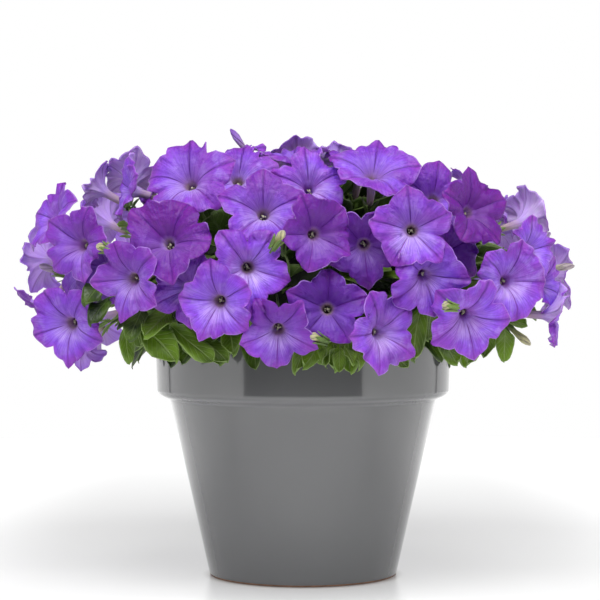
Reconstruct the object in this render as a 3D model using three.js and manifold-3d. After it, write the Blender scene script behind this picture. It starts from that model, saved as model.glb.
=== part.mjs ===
// A petunia plant in full bloom in a glazed flower pot, in millimetres, +Z up.
// The origin is the middle of the pot's flat foot. Azimuth 0 is the front, which looks along -Y, and
// azimuth 90 is the right-hand side, +X. Every bloom is a thin five-lobed trumpet on its own node. Each
// leafy stem is one grown piece: stem, side shoots, leaves, buds, flower stalks and calyxes together.
import * as THREE from "three";
import { mergeVertices } from "three/addons/utils/BufferGeometryUtils.js";
import Module from "manifold-3d";

const wasm = await Module();
wasm.setup();

// ---- driving dimensions ----
const pot = {
  footRadius: 77.5,
  neckRadius: 106,
  neckHeight: 134,
  beadRadius: 108,
  rimRadius: 120,
  rimBottom: 147,
  height: 200,
  floor: 10,
  innerFootRadius: 69,
  innerRimRadius: 110,
  segments: 32,
};
const soil = { gap: 0.3, top: 184, crown: 5, holeRadius: 5.8, segments: 16 };
const bloomForm = {
  lobes: 5,
  pointsPerLobe: 4,
  thickness: 0.8,
  tubeLength: 24,
  throatRadius: 4.6,
  limbRise: 10.5,
  flare: 9,
  notch: 0.04,
  taper: 0.17,
  puff: 1.5,
  flutter: 2.4,
  tipCurl: 2.2,
};
const calyx = { below: 0.4, depth: 9, radius: 4.2 };
const stem = { radius: 3, sides: 5, steps: 2, ringRadius: 34, sectors: 6, foot: 165, top: 225 };
const stalk = { radius: 1.3, sides: 3, steps: 2 };
// The close inner growth of the bush, which leaves, shoots and flower stalks stand out of.
const thicket = {
  segments: 24,
  gap: 1,
  well: 14,
  lump: 5,
  rows: [
    [14, 197], [98, 197], [121, 208], [138, 226], [137, 246], [124, 266], [99, 281], [58, 289], [14, 291],
  ],
  crownRadius: 44,
  crownBottom: 297,
  crownTop: 310,
};
const leafForm = { thickness: 0.8, clearance: 0.6, sunk: 6 };
const bud = { radius: 3.2, sides: 5 };
const crownReach = 75; // blooms nearer the pot's axis than this grow from the middle stem

// Each bloom of the front and the sides, read from the photograph:
// azimuth, reach from the pot's axis, height of the throat, then the way it faces (turn, lift),
// the angle of its first petal tip, and its diameter.
const frontBlooms = [
  [-31, 163, 312, -15, 36, 100, 70],
  [-34, 91, 318, 5, 40, 80, 60],
  [-9, 186, 289, 0, 30, 90, 62],
  [-29, 202, 268, -12, 22, 68, 66],
  [-54, 206, 268, -35, 8, 76, 60],
  [-36, 211, 243, -32, -8, 38, 60],
  [-57, 210, 209, -28, -12, 50, 62],
  [-11, 210, 251, 8, -6, 56, 60],
  [-16, 216, 227, -14, -8, 28, 58],
  [-5, 206, 207, 0, -20, 52, 56],
  [-84, 198, 288, -62, 28, 30, 60],
  [-73, 140, 312, -75, 15, 20, 56],
  [-27, 184, 236, -15, -5, 60, 54],
  [-56, 182, 250, -30, -10, 10, 56],
  [2, 131, 310, 5, 30, 23, 58],
  [21, 146, 317, 8, 56, 4, 68],
  [2, 203, 275, 18, 4, 40, 54],
  [14, 184, 268, 0, -8, 60, 58],
  [23, 202, 278, 2, 4, 24, 60],
  [39, 157, 302, 5, 28, 7, 60],
  [40, 191, 292, 38, 16, 15, 60],
  [37, 176, 262, 30, -10, 40, 54],
  [25, 207, 246, 22, -16, 0, 60],
  [45, 213, 241, 28, 0, 71, 60],
  [34, 212, 217, 18, -24, 70, 64],
  [5, 201, 221, 0, 6, 15, 56],
  [15, 205, 204, 36, 0, 40, 60],
  [68, 206, 214, 80, -2, 20, 54],
  [70, 197, 238, 62, 8, 45, 54],
  [59, 199, 263, 50, 12, 10, 52],
  [-94, 165, 314, -95, 30, 60, 50],
  [-79, 209, 222, -70, -46, 30, 50],
  [-98, 214, 258, -115, -5, 10, 58],
  [-71, 182, 250, -75, 5, 20, 54],
  [-62, 62, 332, -50, 60, 40, 54],
  [-170, 30, 334, 175, 52, 20, 58],
  [150, 42, 332, 160, 48, 50, 56],
  [62, 142, 304, 104, 26, 0, 52],
  [89, 178, 288, 118, 15, 30, 60],
  [-98, 143, 322, 175, 50, 30, 60],
  [-74, 182, 194, -120, -30, 0, 46],
];

// The rows that carry on round the back: height, reach, lift, number, and first and last azimuth.
const backRows = [
  [211, 201, -8, 5, 134, 240],
  [250, 210, 4, 5, 104, 226],
  [288, 194, 16, 5, 119, 241],
  [302, 156, 32, 4, 106, 222],
  [320, 80, 56, 2, 96, 206],
];
// The blooms on the very top, behind the front's, with the same values as the front's.
const crownBlooms = [
  [-9, 49, 332, -5, 80, 20, 58],
  [49, 60, 328, 40, 76, 44, 60],
  [-79, 107, 312, -79, 60, 10, 58],
  [-109, 68, 322, -109, 66, 52, 58],
  [128, 70, 326, 130, 62, 30, 60],
];

// Furled buds: azimuth, reach and height of the foot, the way each points (turn, lift), and its length.
const buds = [
  [-100, 42, 340, -82, 54, 32],
  [79, 196, 250, 88, 6, 26],
  [54, 192, 208, 62, -38, 26],
  [-5, 174, 262, -22, 58, 20],
  [-47, 190, 262, -66, 30, 18],
  [-88, 196, 246, -96, 20, 22],
  [104, 196, 270, 108, 28, 24],
  [182, 190, 262, 186, 30, 24],
  [226, 196, 222, 232, -10, 22],
];

const colours = {
  pot: { color: 0x66676a, roughness: 0.12, metalness: 0 },
  soil: { color: 0x2c2018, roughness: 0.95, metalness: 0 },
  petal: { color: 0x7f45c8, roughness: 0.6, metalness: 0 },
  leaf: { color: 0x4d7a26, roughness: 0.55, metalness: 0 },
};

// ---- small helpers ----
const rad = THREE.MathUtils.degToRad;
// A repeatable draw from 0 to 1 for piece `a`, question `b`.
const draw = (a, b) => {
  const v = Math.sin(a * 12.9898 + b * 78.233) * 43758.5453;
  return v - Math.floor(v);
};
const polar = (azimuth, reach, height) =>
  new THREE.Vector3(Math.sin(rad(azimuth)) * reach, -Math.cos(rad(azimuth)) * reach, height);
const facing = (turn, lift) => polar(turn, Math.cos(rad(lift)), Math.sin(rad(lift)));

function solidOf(geometry) {
  const bare = geometry.clone();
  bare.deleteAttribute("normal");
  bare.deleteAttribute("uv");
  const merged = mergeVertices(bare, 1e-4);
  return new wasm.Manifold(
    new wasm.Mesh({
      numProp: 3,
      vertProperties: new Float32Array(merged.attributes.position.array),
      triVerts: new Uint32Array(merged.index.array),
    }),
  );
}

function geometryOf(solid) {
  const mesh = solid.getMesh();
  const geometry = new THREE.BufferGeometry();
  geometry.setAttribute("position", new THREE.BufferAttribute(mesh.vertProperties, 3));
  geometry.setIndex(new THREE.BufferAttribute(mesh.triVerts, 1));
  geometry.computeVertexNormals();
  return geometry;
}

// Parts fused into one solid, with any pocket that they close off filled in and slivers merged.
function fuse(solids) {
  const fused = wasm.Manifold.union(solids);
  const whole = wasm.Manifold.union(fused.decompose().filter((body) => body.volume() > 0));
  return whole.asOriginal().simplify(0.08);
}

// A closed blade round a middle surface, alike on both faces. `stretch` widens it where a cone comes to
// its point, so that the walls keep their thickness there.
function thicken(points, triangles, thickness, stretch = () => 1) {
  const middle = new THREE.BufferGeometry().setFromPoints(points);
  middle.setIndex(triangles.flat());
  middle.computeVertexNormals();
  const count = points.length;
  const normal = (i) => new THREE.Vector3().fromBufferAttribute(middle.attributes.normal, i);
  const face = (side) =>
    points.map((p, i) => p.clone().addScaledVector(normal(i), (side * stretch(i) * thickness) / 2));
  const index = [];
  const edges = new Set();
  for (const [a, b, c] of triangles) {
    index.push(a, b, c, c + count, b + count, a + count);
    for (const [from, to] of [[a, b], [b, c], [c, a]]) edges.add(`${from} ${to}`);
  }
  for (const edge of edges) {
    const [from, to] = edge.split(" ").map(Number);
    if (edges.has(`${to} ${from}`)) continue;
    index.push(to, from, from + count, to, from + count, to + count);
  }
  const blade = new THREE.BufferGeometry().setFromPoints([...face(1), ...face(-1)]);
  blade.setIndex(index);
  return blade;
}

// A stem of few sides along a curve, with closed ends.
function stemAlong(curve, radius, sides, steps) {
  const section = new THREE.Shape(
    Array.from({ length: sides }, (_, i) => {
      const angle = (2 * Math.PI * i) / sides;
      return new THREE.Vector2(Math.cos(angle) * radius, Math.sin(angle) * radius);
    }),
  );
  return new THREE.ExtrudeGeometry(section, { steps, extrudePath: curve, bevelEnabled: false });
}

// ---- the pot and its soil ----
function potProfile() {
  const p = pot;
  return [
    [0, 0],
    [p.footRadius - 5, 0],
    [p.footRadius, 4],
    [p.neckRadius, p.neckHeight],
    [p.beadRadius, p.neckHeight + 5],
    [p.beadRadius, p.rimBottom - 2],
    [p.rimRadius - 5, p.rimBottom + 1],
    [p.rimRadius - 1.5, p.rimBottom + 7],
    [p.rimRadius, p.height - 6],
    [p.rimRadius - 2.5, p.height],
    [p.innerRimRadius + 2, p.height],
    [p.innerRimRadius, p.height - 4],
    [p.innerFootRadius, p.floor],
    [0, p.floor],
  ].map(([r, z]) => new THREE.Vector2(r, z));
}

// LatheGeometry turns about Y, so its upright axis is laid onto +Z.
function lathe(profile, segments) {
  return new THREE.LatheGeometry(profile, segments).rotateX(Math.PI / 2);
}

// The pot's inside radius at a height.
function insideRadius(z) {
  const share = (z - pot.floor) / (pot.height - 4 - pot.floor);
  return pot.innerFootRadius + (pot.innerRimRadius - pot.innerFootRadius) * share;
}

function soilSolid(holes) {
  const bottom = pot.floor + soil.gap;
  const edge = insideRadius(soil.top) - soil.gap * 2;
  const profile = [
    [0, bottom],
    [insideRadius(bottom) - soil.gap * 2, bottom],
    [edge, soil.top],
    [edge * 0.72, soil.top + soil.crown * 0.7],
    [edge * 0.4, soil.top + soil.crown * 0.4],
    [0, soil.top + soil.crown],
  ].map(([r, z]) => new THREE.Vector2(r, z));
  let solid = solidOf(lathe(profile, soil.segments));
  for (const at of holes) {
    const hole = new THREE.CylinderGeometry(soil.holeRadius, soil.holeRadius, 60, 6);
    hole.rotateX(Math.PI / 2).translate(at.x, at.y, stem.foot - soil.gap + 30);
    solid = solid.subtract(solidOf(hole));
  }
  return solid;
}

// ---- a bloom ----
// The limb's reach at `angle` from a petal's rib, as a share: a small point, a full lobe and a notch.
function lobeShare(fromRib) {
  const p = Math.min(1, Math.abs(fromRib));
  return 1 - bloomForm.taper * p ** 0.75 - bloomForm.notch * p ** 6;
}

// A point of the middle surface: `share` runs from 0 in the throat to 1 at the edge.
function limbPoint(bloom, angle, share) {
  const f = bloomForm;
  const step = (2 * Math.PI) / f.lobes;
  const lobe = Math.round(angle / step);
  const fromRib = Math.abs(angle - lobe * step) / (step / 2);
  const full = (bloom.diameter / 2) * (0.98 + 0.1 * draw(bloom.id, 10 + (lobe % f.lobes)));
  const edge = full * lobeShare(fromRib);
  const radius = f.throatRadius + (edge - f.throatRadius) * share;
  const rise = f.limbRise * (1 - Math.exp(-(radius - f.throatRadius) / f.flare));
  const puff = f.puff * Math.sin(Math.PI * share) * Math.sin(Math.PI * fromRib);
  const phase = 2 * Math.PI * draw(bloom.id, 2);
  const wave = Math.sin(2 * angle + phase) + 0.7 * Math.sin(3 * angle + phase * 2.3);
  const curl = f.tipCurl * (1 - fromRib) ** 2 * share ** 4;
  return new THREE.Vector3(
    radius * Math.cos(angle),
    radius * Math.sin(angle),
    rise + puff + (f.flutter * share ** 3 * wave) / 2 - curl,
  );
}

function bloomGeometry(bloom) {
  const f = bloomForm;
  const outer = f.lobes * f.pointsPerLobe;
  const ringOf = (count, make) => Array.from({ length: count }, (_, i) => make((2 * Math.PI * i) / count));
  const points = [
    ...ringOf(outer, (a) => limbPoint(bloom, a, 1)),
    ...ringOf(outer / 2, (a) => limbPoint(bloom, a, 0.42)),
    ...ringOf(f.lobes, (a) => limbPoint(bloom, a, 0)),
    new THREE.Vector3(0, 0, -f.tubeLength + 2),
  ];
  const middle = outer;
  const throat = middle + outer / 2;
  const foot = throat + f.lobes;
  const triangles = [];
  // Two rings, the outer with twice as many points as the inner.
  const halve = (from, count, to) => {
    for (let i = 0; i < count / 2; i++) {
      const [a, b, c] = [0, 1, 2].map((k) => from + ((2 * i + k) % count));
      const [d, e] = [0, 1].map((k) => to + ((i + k) % (count / 2)));
      triangles.push([a, b, d], [b, e, d], [b, c, e]);
    }
  };
  halve(0, outer, middle);
  halve(middle, outer / 2, throat);
  for (let i = 0; i < f.lobes; i++) triangles.push([throat + i, throat + ((i + 1) % f.lobes), foot]);
  return thicken(points, triangles, f.thickness, (i) => (i === foot ? 5 : 1));
}

// Where a bloom or bud stands: its throat or foot at the origin of the frame, its face along +Z.
function flowerFrame(flower) {
  const ahead = facing(flower.turn, flower.lift);
  const side = new THREE.Vector3(0, 0, 1).cross(ahead).normalize();
  const up = ahead.clone().cross(side);
  const turned = new THREE.Matrix4().makeBasis(side, up, ahead);
  return turned
    .multiply(new THREE.Matrix4().makeRotationZ(rad(flower.spin)))
    .setPosition(polar(flower.azimuth, flower.reach, flower.height));
}

function allBlooms() {
  const bloomAt = ([azimuth, reach, height, turn, lift, spin, diameter]) => ({
    azimuth,
    reach,
    height,
    turn,
    lift,
    spin,
    diameter,
  });
  const list = frontBlooms.map(bloomAt);
  backRows.forEach(([height, reach, lift, number, first, last], row) => {
    for (let i = 0; i < number; i++) {
      const seed = 100 * (row + 1) + i;
      const azimuth = first + ((last - first) * i) / (number - 1) + 5 * (draw(seed, 1) - 0.5);
      list.push({
        azimuth,
        reach: reach + 6 * (draw(seed, 2) - 0.5),
        height: height + 12 * (draw(seed, 3) - 0.5),
        turn: azimuth + 16 * (draw(seed, 4) - 0.5),
        lift: lift + 14 * (draw(seed, 5) - 0.5),
        spin: 72 * draw(seed, 6),
        diameter: 62 + 8 * draw(seed, 7),
      });
    }
  });
  list.push(...crownBlooms.map(bloomAt));
  return list.map((bloom, id) => ({ ...bloom, id: id + 1 }));
}

// ---- the green parts ----
// The calyx: a solid five-sided cup just under the tube, in the bloom's own frame.
function calyxGeometry() {
  const mouth = -bloomForm.tubeLength - calyx.below;
  const profile = [
    [0, mouth - calyx.depth],
    [calyx.radius, mouth],
    [0, mouth],
  ].map(([r, z]) => new THREE.Vector2(r, z));
  return lathe(profile, bloomForm.lobes);
}

// A leaf along +X of its own frame: an oval blade, folded a little on its midrib and arched.
function leafPoints(leaf) {
  const at = (share, side, width) => {
    const across = (side * width * leaf.width) / 2;
    const drop = leaf.arch * share * share * leaf.length;
    return new THREE.Vector3(share * leaf.length, across, leaf.fold * Math.abs(across) - drop);
  };
  return [at(0, 0, 0)]
    .concat([1, 0, -1].map((side) => at(0.34, side, 1)))
    .concat([1, 0, -1].map((side) => at(0.74, side, 0.86)))
    .concat([at(1, 0, 0)]);
}
const leafTriangles = [
  [0, 2, 1], [0, 3, 2], [1, 2, 4], [2, 5, 4], [2, 3, 5], [3, 6, 5], [4, 5, 7], [5, 6, 7],
];

// The leaf's frame: it heads to `turn` and `lift`, rolled about its midrib.
function leafFrame(leaf) {
  const along = facing(leaf.turn, leaf.lift);
  const side = new THREE.Vector3(0, 0, 1).cross(along).normalize();
  const up = along.clone().cross(side);
  return new THREE.Matrix4()
    .makeBasis(along, side, up)
    .multiply(new THREE.Matrix4().makeRotationX(rad(leaf.roll)))
    .setPosition(leaf.root);
}

function leafSolid(leaf, extra = 0) {
  const geometry = thicken(leafPoints(leaf), leafTriangles, leafForm.thickness + extra);
  return solidOf(geometry.applyMatrix4(leafFrame(leaf)));
}

// A furled bud along +Z of its own frame.
function budGeometry(length) {
  const profile = [
    [0, -2],
    [bud.radius * 0.7, length * 0.2],
    [bud.radius, length * 0.65],
    [0, length],
  ].map(([r, z]) => new THREE.Vector2(r, z));
  return lathe(profile, bud.sides);
}

const curveThrough = (...points) => new THREE.CubicBezierCurve3(...points);
const sectorAzimuth = (k) => (360 / stem.sectors) * (k + 0.5) - 180;
const sectorHalf = 180 / stem.sectors;

// The stem in the soil, up into the thicket.
function stemCurve(azimuth, ringRadius, top) {
  return new THREE.LineCurve3(polar(azimuth, ringRadius, stem.foot), polar(azimuth, ringRadius, top));
}

// How far lumps push the thicket's surface out at a place.
function lump(azimuth, z) {
  const a = rad(azimuth);
  const wave = Math.sin(5 * a + z / 9) + Math.sin(11 * a - z / 6 + 1);
  return z < 205 ? 0 : (thicket.lump / 2) * wave;
}

// The whole thicket: a low lumpy dome turned round the pot's axis, with a well for the middle stem.
function thicketDome() {
  const profile = thicket.rows.map(([r, z]) => new THREE.Vector2(r, z));
  const geometry = lathe([...profile, profile[0].clone()], thicket.segments);
  const at = geometry.attributes.position;
  for (let i = 0; i < at.count; i++) {
    const [x, y, z] = [at.getX(i), at.getY(i), at.getZ(i)];
    const r = Math.hypot(x, y);
    if (r < 40) continue;
    const k = (r + lump(THREE.MathUtils.radToDeg(Math.atan2(x, -y)), z)) / r;
    at.setXY(i, x * k, y * k);
  }
  return solidOf(geometry);
}

// The wedge of the dome that one leafy stem fills, set off from its neighbours by a narrow gap.
function thicketWedge(dome, azimuth) {
  const shift = polar(azimuth, thicket.gap / Math.sin(rad(sectorHalf)), 0);
  const corner = (turn, reach) => {
    const at = polar(azimuth + turn, reach, 0).add(shift);
    return new THREE.Vector2(at.x, at.y);
  };
  const outline = new THREE.Shape([corner(0, 0), corner(-sectorHalf, 200), corner(sectorHalf, 200)]);
  const wedge = new THREE.ExtrudeGeometry(outline, { depth: 400, bevelEnabled: false });
  return dome.intersect(solidOf(wedge));
}

function crownLump() {
  const { crownRadius: r, crownBottom: low, crownTop: top } = thicket;
  const profile = [
    [0, low],
    [r * 0.7, low],
    [r, (low + top) / 2],
    [r * 0.7, top - 2],
    [0, top],
  ].map(([x, z]) => new THREE.Vector2(x, z));
  return solidOf(lathe(profile, 10));
}

// A flower stalk: straight back from its flower, then down into the thicket. `bend` moves it aside.
function stalkCurve(frame, behind, end, bend) {
  const ahead = new THREE.Vector3().setFromMatrixColumn(frame, 2);
  const start = new THREE.Vector3().setFromMatrixPosition(frame).addScaledVector(ahead, -behind);
  const side = new THREE.Vector3(0, 0, 1).cross(ahead).normalize();
  const back = start.clone().addScaledVector(ahead, -14).addScaledVector(side, bend);
  const near = end.clone().lerp(back, 0.4);
  return curveThrough(start, back, near, end);
}

const bends = [0, 9, -9, 18, -18];
const stalkFeet = [246, 260, 234, 222]; // heights in the thicket that a stalk may grow from
// Ways round what is already there: a leaf is lifted and turned aside by these, and the first clear one kept.
const leafLifts = [0, -14, 14, -28, 28, 42];
const leafTurns = [0, 22, -22, 44, -44];
const leafTries = leafLifts.flatMap((lift) => leafTurns.map((turn) => [lift, turn]));

// Rows of leaves on the thicket of one sector: reach and height of the root, lift, length, arch, and the
// turns from the middle of the sector.
const leafRows = [
  { reach: 126, height: 213, lift: -18, length: 54, arch: 0.4, turns: [-23, -8, 7, 22] },
  { reach: 138, height: 231, lift: 2, length: 60, arch: 0.28, turns: [-15, 1, 17] },
  { reach: 134, height: 250, lift: 18, length: 56, arch: 0.2, turns: [-22, -6, 9] },
  { reach: 118, height: 270, lift: 34, length: 50, arch: 0.15, turns: [-15, 2, 19] },
  { reach: 88, height: 279, lift: 50, length: 44, arch: 0.1, turns: [-17, 12] },
  { reach: 50, height: 284, lift: 66, length: 42, arch: 0.1, turns: [-6] },
];
const crownRow = { reach: 36, height: 303, lift: 40, length: 46, arch: 0.15 };
crownRow.turns = [-150, -100, -52, -8, 28, 66, 118];

function leafAt(root, heading, row, seed) {
  const length = row.length * (0.85 + 0.3 * draw(seed, 21));
  return {
    root,
    turn: heading + 30 * (draw(seed, 22) - 0.5),
    lift: row.lift + 20 * (draw(seed, 23) - 0.5),
    roll: 70 * (draw(seed, 26) - 0.5),
    length,
    width: length * (0.54 + 0.1 * draw(seed, 24)),
    fold: 0.16,
    arch: row.arch * (0.7 + 0.6 * draw(seed, 25)),
  };
}

function leavesOnThicket(leafy, k) {
  const rows = leafy.middle ? [crownRow] : leafRows;
  return rows.flatMap((row, n) =>
    row.turns.map((turn, i) => {
      const azimuth = leafy.azimuth + turn;
      const out = row.reach - leafForm.sunk + (leafy.middle ? 0 : lump(azimuth, row.height));
      return leafAt(polar(azimuth, out, row.height), azimuth, row, 1000 + 100 * k + 10 * n + i);
    }),
  );
}

// ---- assembly ----
const petunia = new THREE.Group();
const materials = {};
for (const [name, look] of Object.entries(colours)) materials[name] = new THREE.MeshStandardMaterial(look);

function place(name, geometry, material, parent = petunia) {
  const mesh = new THREE.Mesh(geometry, materials[material]);
  mesh.name = name;
  parent.add(mesh);
  return mesh;
}

const taken = []; // every solid placed so far, with the node it belongs to
function keep(solid, node) {
  taken.push({ solid, node, box: solid.boundingBox() });
}
// How many placed solids a new one of this node cuts, in other nodes and in its own but for `stems`.
function cuts(solid, node, stems = []) {
  const box = solid.boundingBox();
  const near = (other) => [0, 1, 2].every((k) => box.min[k] < other.max[k] && box.max[k] > other.min[k]);
  const cut = taken.filter(
    (other) => !stems.includes(other.solid) && near(other.box) && solid.intersect(other.solid).volume() > 0,
  );
  const foreign = cut.filter((other) => other.node !== node).length;
  return { foreign, own: cut.length - foreign };
}

// Pot
const potSolid = solidOf(lathe(potProfile(), pot.segments));
keep(potSolid, "pot");
place("pot", geometryOf(potSolid), "pot");

// Soil
const stemFeet = [new THREE.Vector3(0, 0, stem.foot)];
for (let k = 0; k < stem.sectors; k++) stemFeet.push(polar(sectorAzimuth(k), stem.ringRadius, stem.foot));
const soilBody = soilSolid(stemFeet);
keep(soilBody, "soil");
place("soil", geometryOf(soilBody), "soil");

// Blooms: those whose petals cross are one bunch.
const blooms = allBlooms();
const placed = blooms.map((bloom) => {
  const frame = flowerFrame(bloom);
  const geometry = bloomGeometry(bloom).applyMatrix4(frame);
  return { bloom, frame, solid: solidOf(geometry) };
});
const bunches = [];
for (const one of placed) {
  const joined = bunches.filter((bunch) =>
    bunch.some((other) => other.solid.intersect(one.solid).volume() > 0),
  );
  const bunch = [...joined.flat(), one];
  for (const old of joined) bunches.splice(bunches.indexOf(old), 1);
  bunches.push(bunch);
}
const petals = new THREE.Group();
petunia.add(petals);
for (const bunch of bunches) {
  bunch.sort((a, b) => a.bloom.id - b.bloom.id);
  const name = "bloom_" + bunch.map(({ bloom }) => String(bloom.id).padStart(2, "0")).join("_");
  const { frame } = bunch[0];
  const geometry = geometryOf(fuse(bunch.map(({ solid }) => solid)));
  const mesh = place(name, geometry.applyMatrix4(frame.clone().invert()), "petal", petals);
  frame.decompose(mesh.position, mesh.quaternion, mesh.scale);
  for (const one of bunch) keep(one.solid, name);
}

// Leafy stems: each fills its own sector, with the middle one last.
const leafyStems = Array.from({ length: stem.sectors + 1 }, (_, k) => {
  const middle = k === stem.sectors;
  return {
    name: middle ? "leafy_stem_middle" : `leafy_stem_${k + 1}`,
    azimuth: middle ? 0 : sectorAzimuth(k),
    middle,
    solids: [],
  };
});
function add(leafy, solid) {
  leafy.solids.push(solid);
  keep(solid, leafy.name);
}
const dome = thicketDome();
for (const leafy of leafyStems) {
  const [ring, top] = leafy.middle ? [0, thicket.crownTop - 6] : [stem.ringRadius, stem.top];
  const foot = stemCurve(leafy.azimuth, ring, top);
  add(leafy, solidOf(stemAlong(foot, stem.radius, stem.sides, 1)));
  leafy.thicket = leafy.middle ? crownLump() : thicketWedge(dome, leafy.azimuth);
  add(leafy, leafy.thicket);
}
const missed = [];
const turnBetween = (a, b) => ((((a - b) % 360) + 540) % 360) - 180;

// A flower's foot and the stalk that cuts the least of what is already there.
function addStalk(label, flower, frame, foot, behind) {
  const sectors = leafyStems.slice(0, stem.sectors);
  const off = (leafy) => Math.abs(turnBetween(flower.azimuth, leafy.azimuth));
  const nearest = sectors.sort((a, b) => off(a) - off(b))[0];
  const leafy = flower.reach < crownReach ? leafyStems[stem.sectors] : nearest;
  if (cuts(foot, leafy.name).foreign) missed.push(`foot of ${label}`);
  add(leafy, foot);
  const inside = THREE.MathUtils.clamp(turnBetween(flower.azimuth, leafy.azimuth), -18, 18);
  const ends = leafy.middle
    ? [polar(flower.azimuth, 16, 303), polar(flower.azimuth + 60, 16, 303)]
    : stalkFeet.map((height) => polar(leafy.azimuth + inside, 100, height));
  const tries = ends.flatMap((end, n) => bends.map((bend) => ({ end, bend, n })));
  const stalks = tries.map(({ end, bend, n }) => {
    const curve = stalkCurve(frame, behind, end, bend);
    const solid = solidOf(stemAlong(curve, stalk.radius, stalk.sides, stalk.steps));
    const cut = cuts(solid, leafy.name, [leafy.thicket, foot]);
    const cost = cut.foreign * 100 + cut.own + (Math.abs(bend) + n) / 100;
    return { solid, cost, foreign: cut.foreign };
  });
  const best = stalks.sort((a, b) => a.cost - b.cost)[0];
  if (best.foreign) missed.push(`stalk of ${label}`);
  add(leafy, best.solid);
}
const calyxFoot = bloomForm.tubeLength + calyx.below + calyx.depth * 0.4;
for (const { bloom, frame } of placed) {
  const cup = solidOf(calyxGeometry().applyMatrix4(frame));
  addStalk(`bloom ${bloom.id}`, bloom, frame, cup, calyxFoot);
}
buds.forEach(([azimuth, reach, height, turn, lift, length], i) => {
  const furled = { azimuth, reach, height, turn, lift, spin: 0 };
  const frame = flowerFrame(furled);
  const solid = solidOf(budGeometry(length).applyMatrix4(frame));
  addStalk(`bud ${i + 1}`, furled, frame, solid, -1);
});
let leafCount = 0;
for (const [k, leafy] of leafyStems.entries()) {
  for (const leaf of leavesOnThicket(leafy, k)) {
    const found = leafTries
      .map(([lift, turn]) => ({ ...leaf, lift: leaf.lift + lift, turn: leaf.turn + turn }))
      .find((candidate) => {
        const cut = cuts(leafSolid(candidate, leafForm.clearance), leafy.name, [leafy.thicket]);
        return cut.foreign + cut.own === 0;
      });
    if (found) {
      add(leafy, leafSolid(found));
      leafCount += 1;
    } else missed.push(`leaf on ${leafy.name}`);
  }
}
const greens = new THREE.Group();
petunia.add(greens);
for (const leafy of leafyStems) {
  place(leafy.name, geometryOf(fuse(leafy.solids)), "leaf", greens);
}
console.log(`${blooms.length} blooms in ${bunches.length} nodes, ${leafCount} leaves`, ...missed);

export default petunia;
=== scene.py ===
# A petunia in full violet bloom in a grey glazed pot. Lengths are worked out in millimetres and made metres
# when a piece is built. Azimuth 0 is the front (-Y), azimuth 90 the right-hand side (+X).
from functools import partial
from math import atan2, cos, degrees, exp, floor, hypot, pi, radians, sin, sqrt, tan
from types import SimpleNamespace

import bmesh
import bpy
from mathutils import Matrix, Vector, kdtree
from mathutils.bvhtree import BVHTree


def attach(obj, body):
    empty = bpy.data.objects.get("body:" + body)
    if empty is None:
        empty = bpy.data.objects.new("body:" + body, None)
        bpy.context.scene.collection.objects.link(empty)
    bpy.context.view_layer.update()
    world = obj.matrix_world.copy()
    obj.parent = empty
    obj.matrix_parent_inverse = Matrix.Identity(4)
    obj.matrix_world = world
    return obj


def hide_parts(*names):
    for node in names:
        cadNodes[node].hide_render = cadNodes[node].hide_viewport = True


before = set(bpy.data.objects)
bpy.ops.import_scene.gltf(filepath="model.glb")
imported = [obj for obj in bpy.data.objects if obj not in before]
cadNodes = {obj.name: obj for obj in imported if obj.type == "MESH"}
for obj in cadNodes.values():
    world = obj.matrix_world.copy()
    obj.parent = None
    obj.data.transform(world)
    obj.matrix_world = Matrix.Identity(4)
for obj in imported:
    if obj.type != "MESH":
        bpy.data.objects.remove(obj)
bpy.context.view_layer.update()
mm = 0.001


# Small tools shared by all the pieces

def draw(a, b):  # a repeatable draw from 0 to 1 for piece a, question b
    value = sin(a * 12.9898 + b * 78.233) * 43758.5453
    return value - floor(value)


def vary(middle, spread, a, b):
    return middle + spread * (draw(a, b) - 0.5)


def pick(ends, a, b):
    return ends[0] + (ends[1] - ends[0]) * draw(a, b)


def polar(azimuth, reach, height):
    a = radians(azimuth)
    return Vector((sin(a) * reach, -cos(a) * reach, height))


def facing(turn, lift):
    return polar(turn, cos(radians(lift)), sin(radians(lift)))


def sideOf(ahead):
    return Vector((0, 0, 1)).cross(ahead).normalized()


def basis(x, y, z, origin):
    turned = Matrix((x, y, z)).transposed().to_4x4()
    turned.translation = origin
    return turned


def smooth(value, low, high):  # 0 below low, 1 above high
    t = max(0.0, min(1.0, (value - low) / (high - low)))
    return t * t * (3 - 2 * t)


def toMesh(bm, name, shade=True):
    mesh = bpy.data.meshes.new(name)
    bm.to_mesh(mesh)
    bm.free()
    for face in mesh.polygons:
        face.use_smooth = shade
    return mesh


def inScene(name, data):
    made = bpy.data.objects.new(name, data)
    bpy.context.scene.collection.objects.link(made)
    return made


def toPiece(data, name, looks, nodes=()):
    if isinstance(data, bmesh.types.BMesh):
        data = toMesh(data, name)
    piece = inScene(name, data)
    for look in looks:
        data.materials.append(look.material)
    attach(piece, "root")
    if nodes:
        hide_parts(*nodes)
    return piece


def turnRow(bm, row, steps):  # a row of points turned into a round shell
    edges = [bm.edges.new(pair) for pair in zip(row, row[1:])]
    bmesh.ops.spin(
        bm, geom=row + edges, cent=(0, 0, 0), axis=(0, 0, 1), angle=2 * pi, steps=steps, use_merge=True,
    )


def closeUp(bm, distance=1e-6):  # corners that meet become one, and the faces look outwards
    bmesh.ops.remove_doubles(bm, verts=bm.verts, dist=distance)
    bmesh.ops.recalc_face_normals(bm, faces=bm.faces)


def turnedShape(outline, steps):  # the outline holds radius and height
    bm = bmesh.new()
    turnRow(bm, [bm.verts.new((r * mm, 0, z * mm)) for r, z in outline], steps)
    closeUp(bm)
    return bm


def thicken(piece, thickness):  # both faces of a blade, the back one in the next material
    wall = piece.modifiers.new("wall", "SOLIDIFY")
    wall.thickness = thickness * mm
    wall.offset = 0
    wall.material_offset = 1


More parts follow.
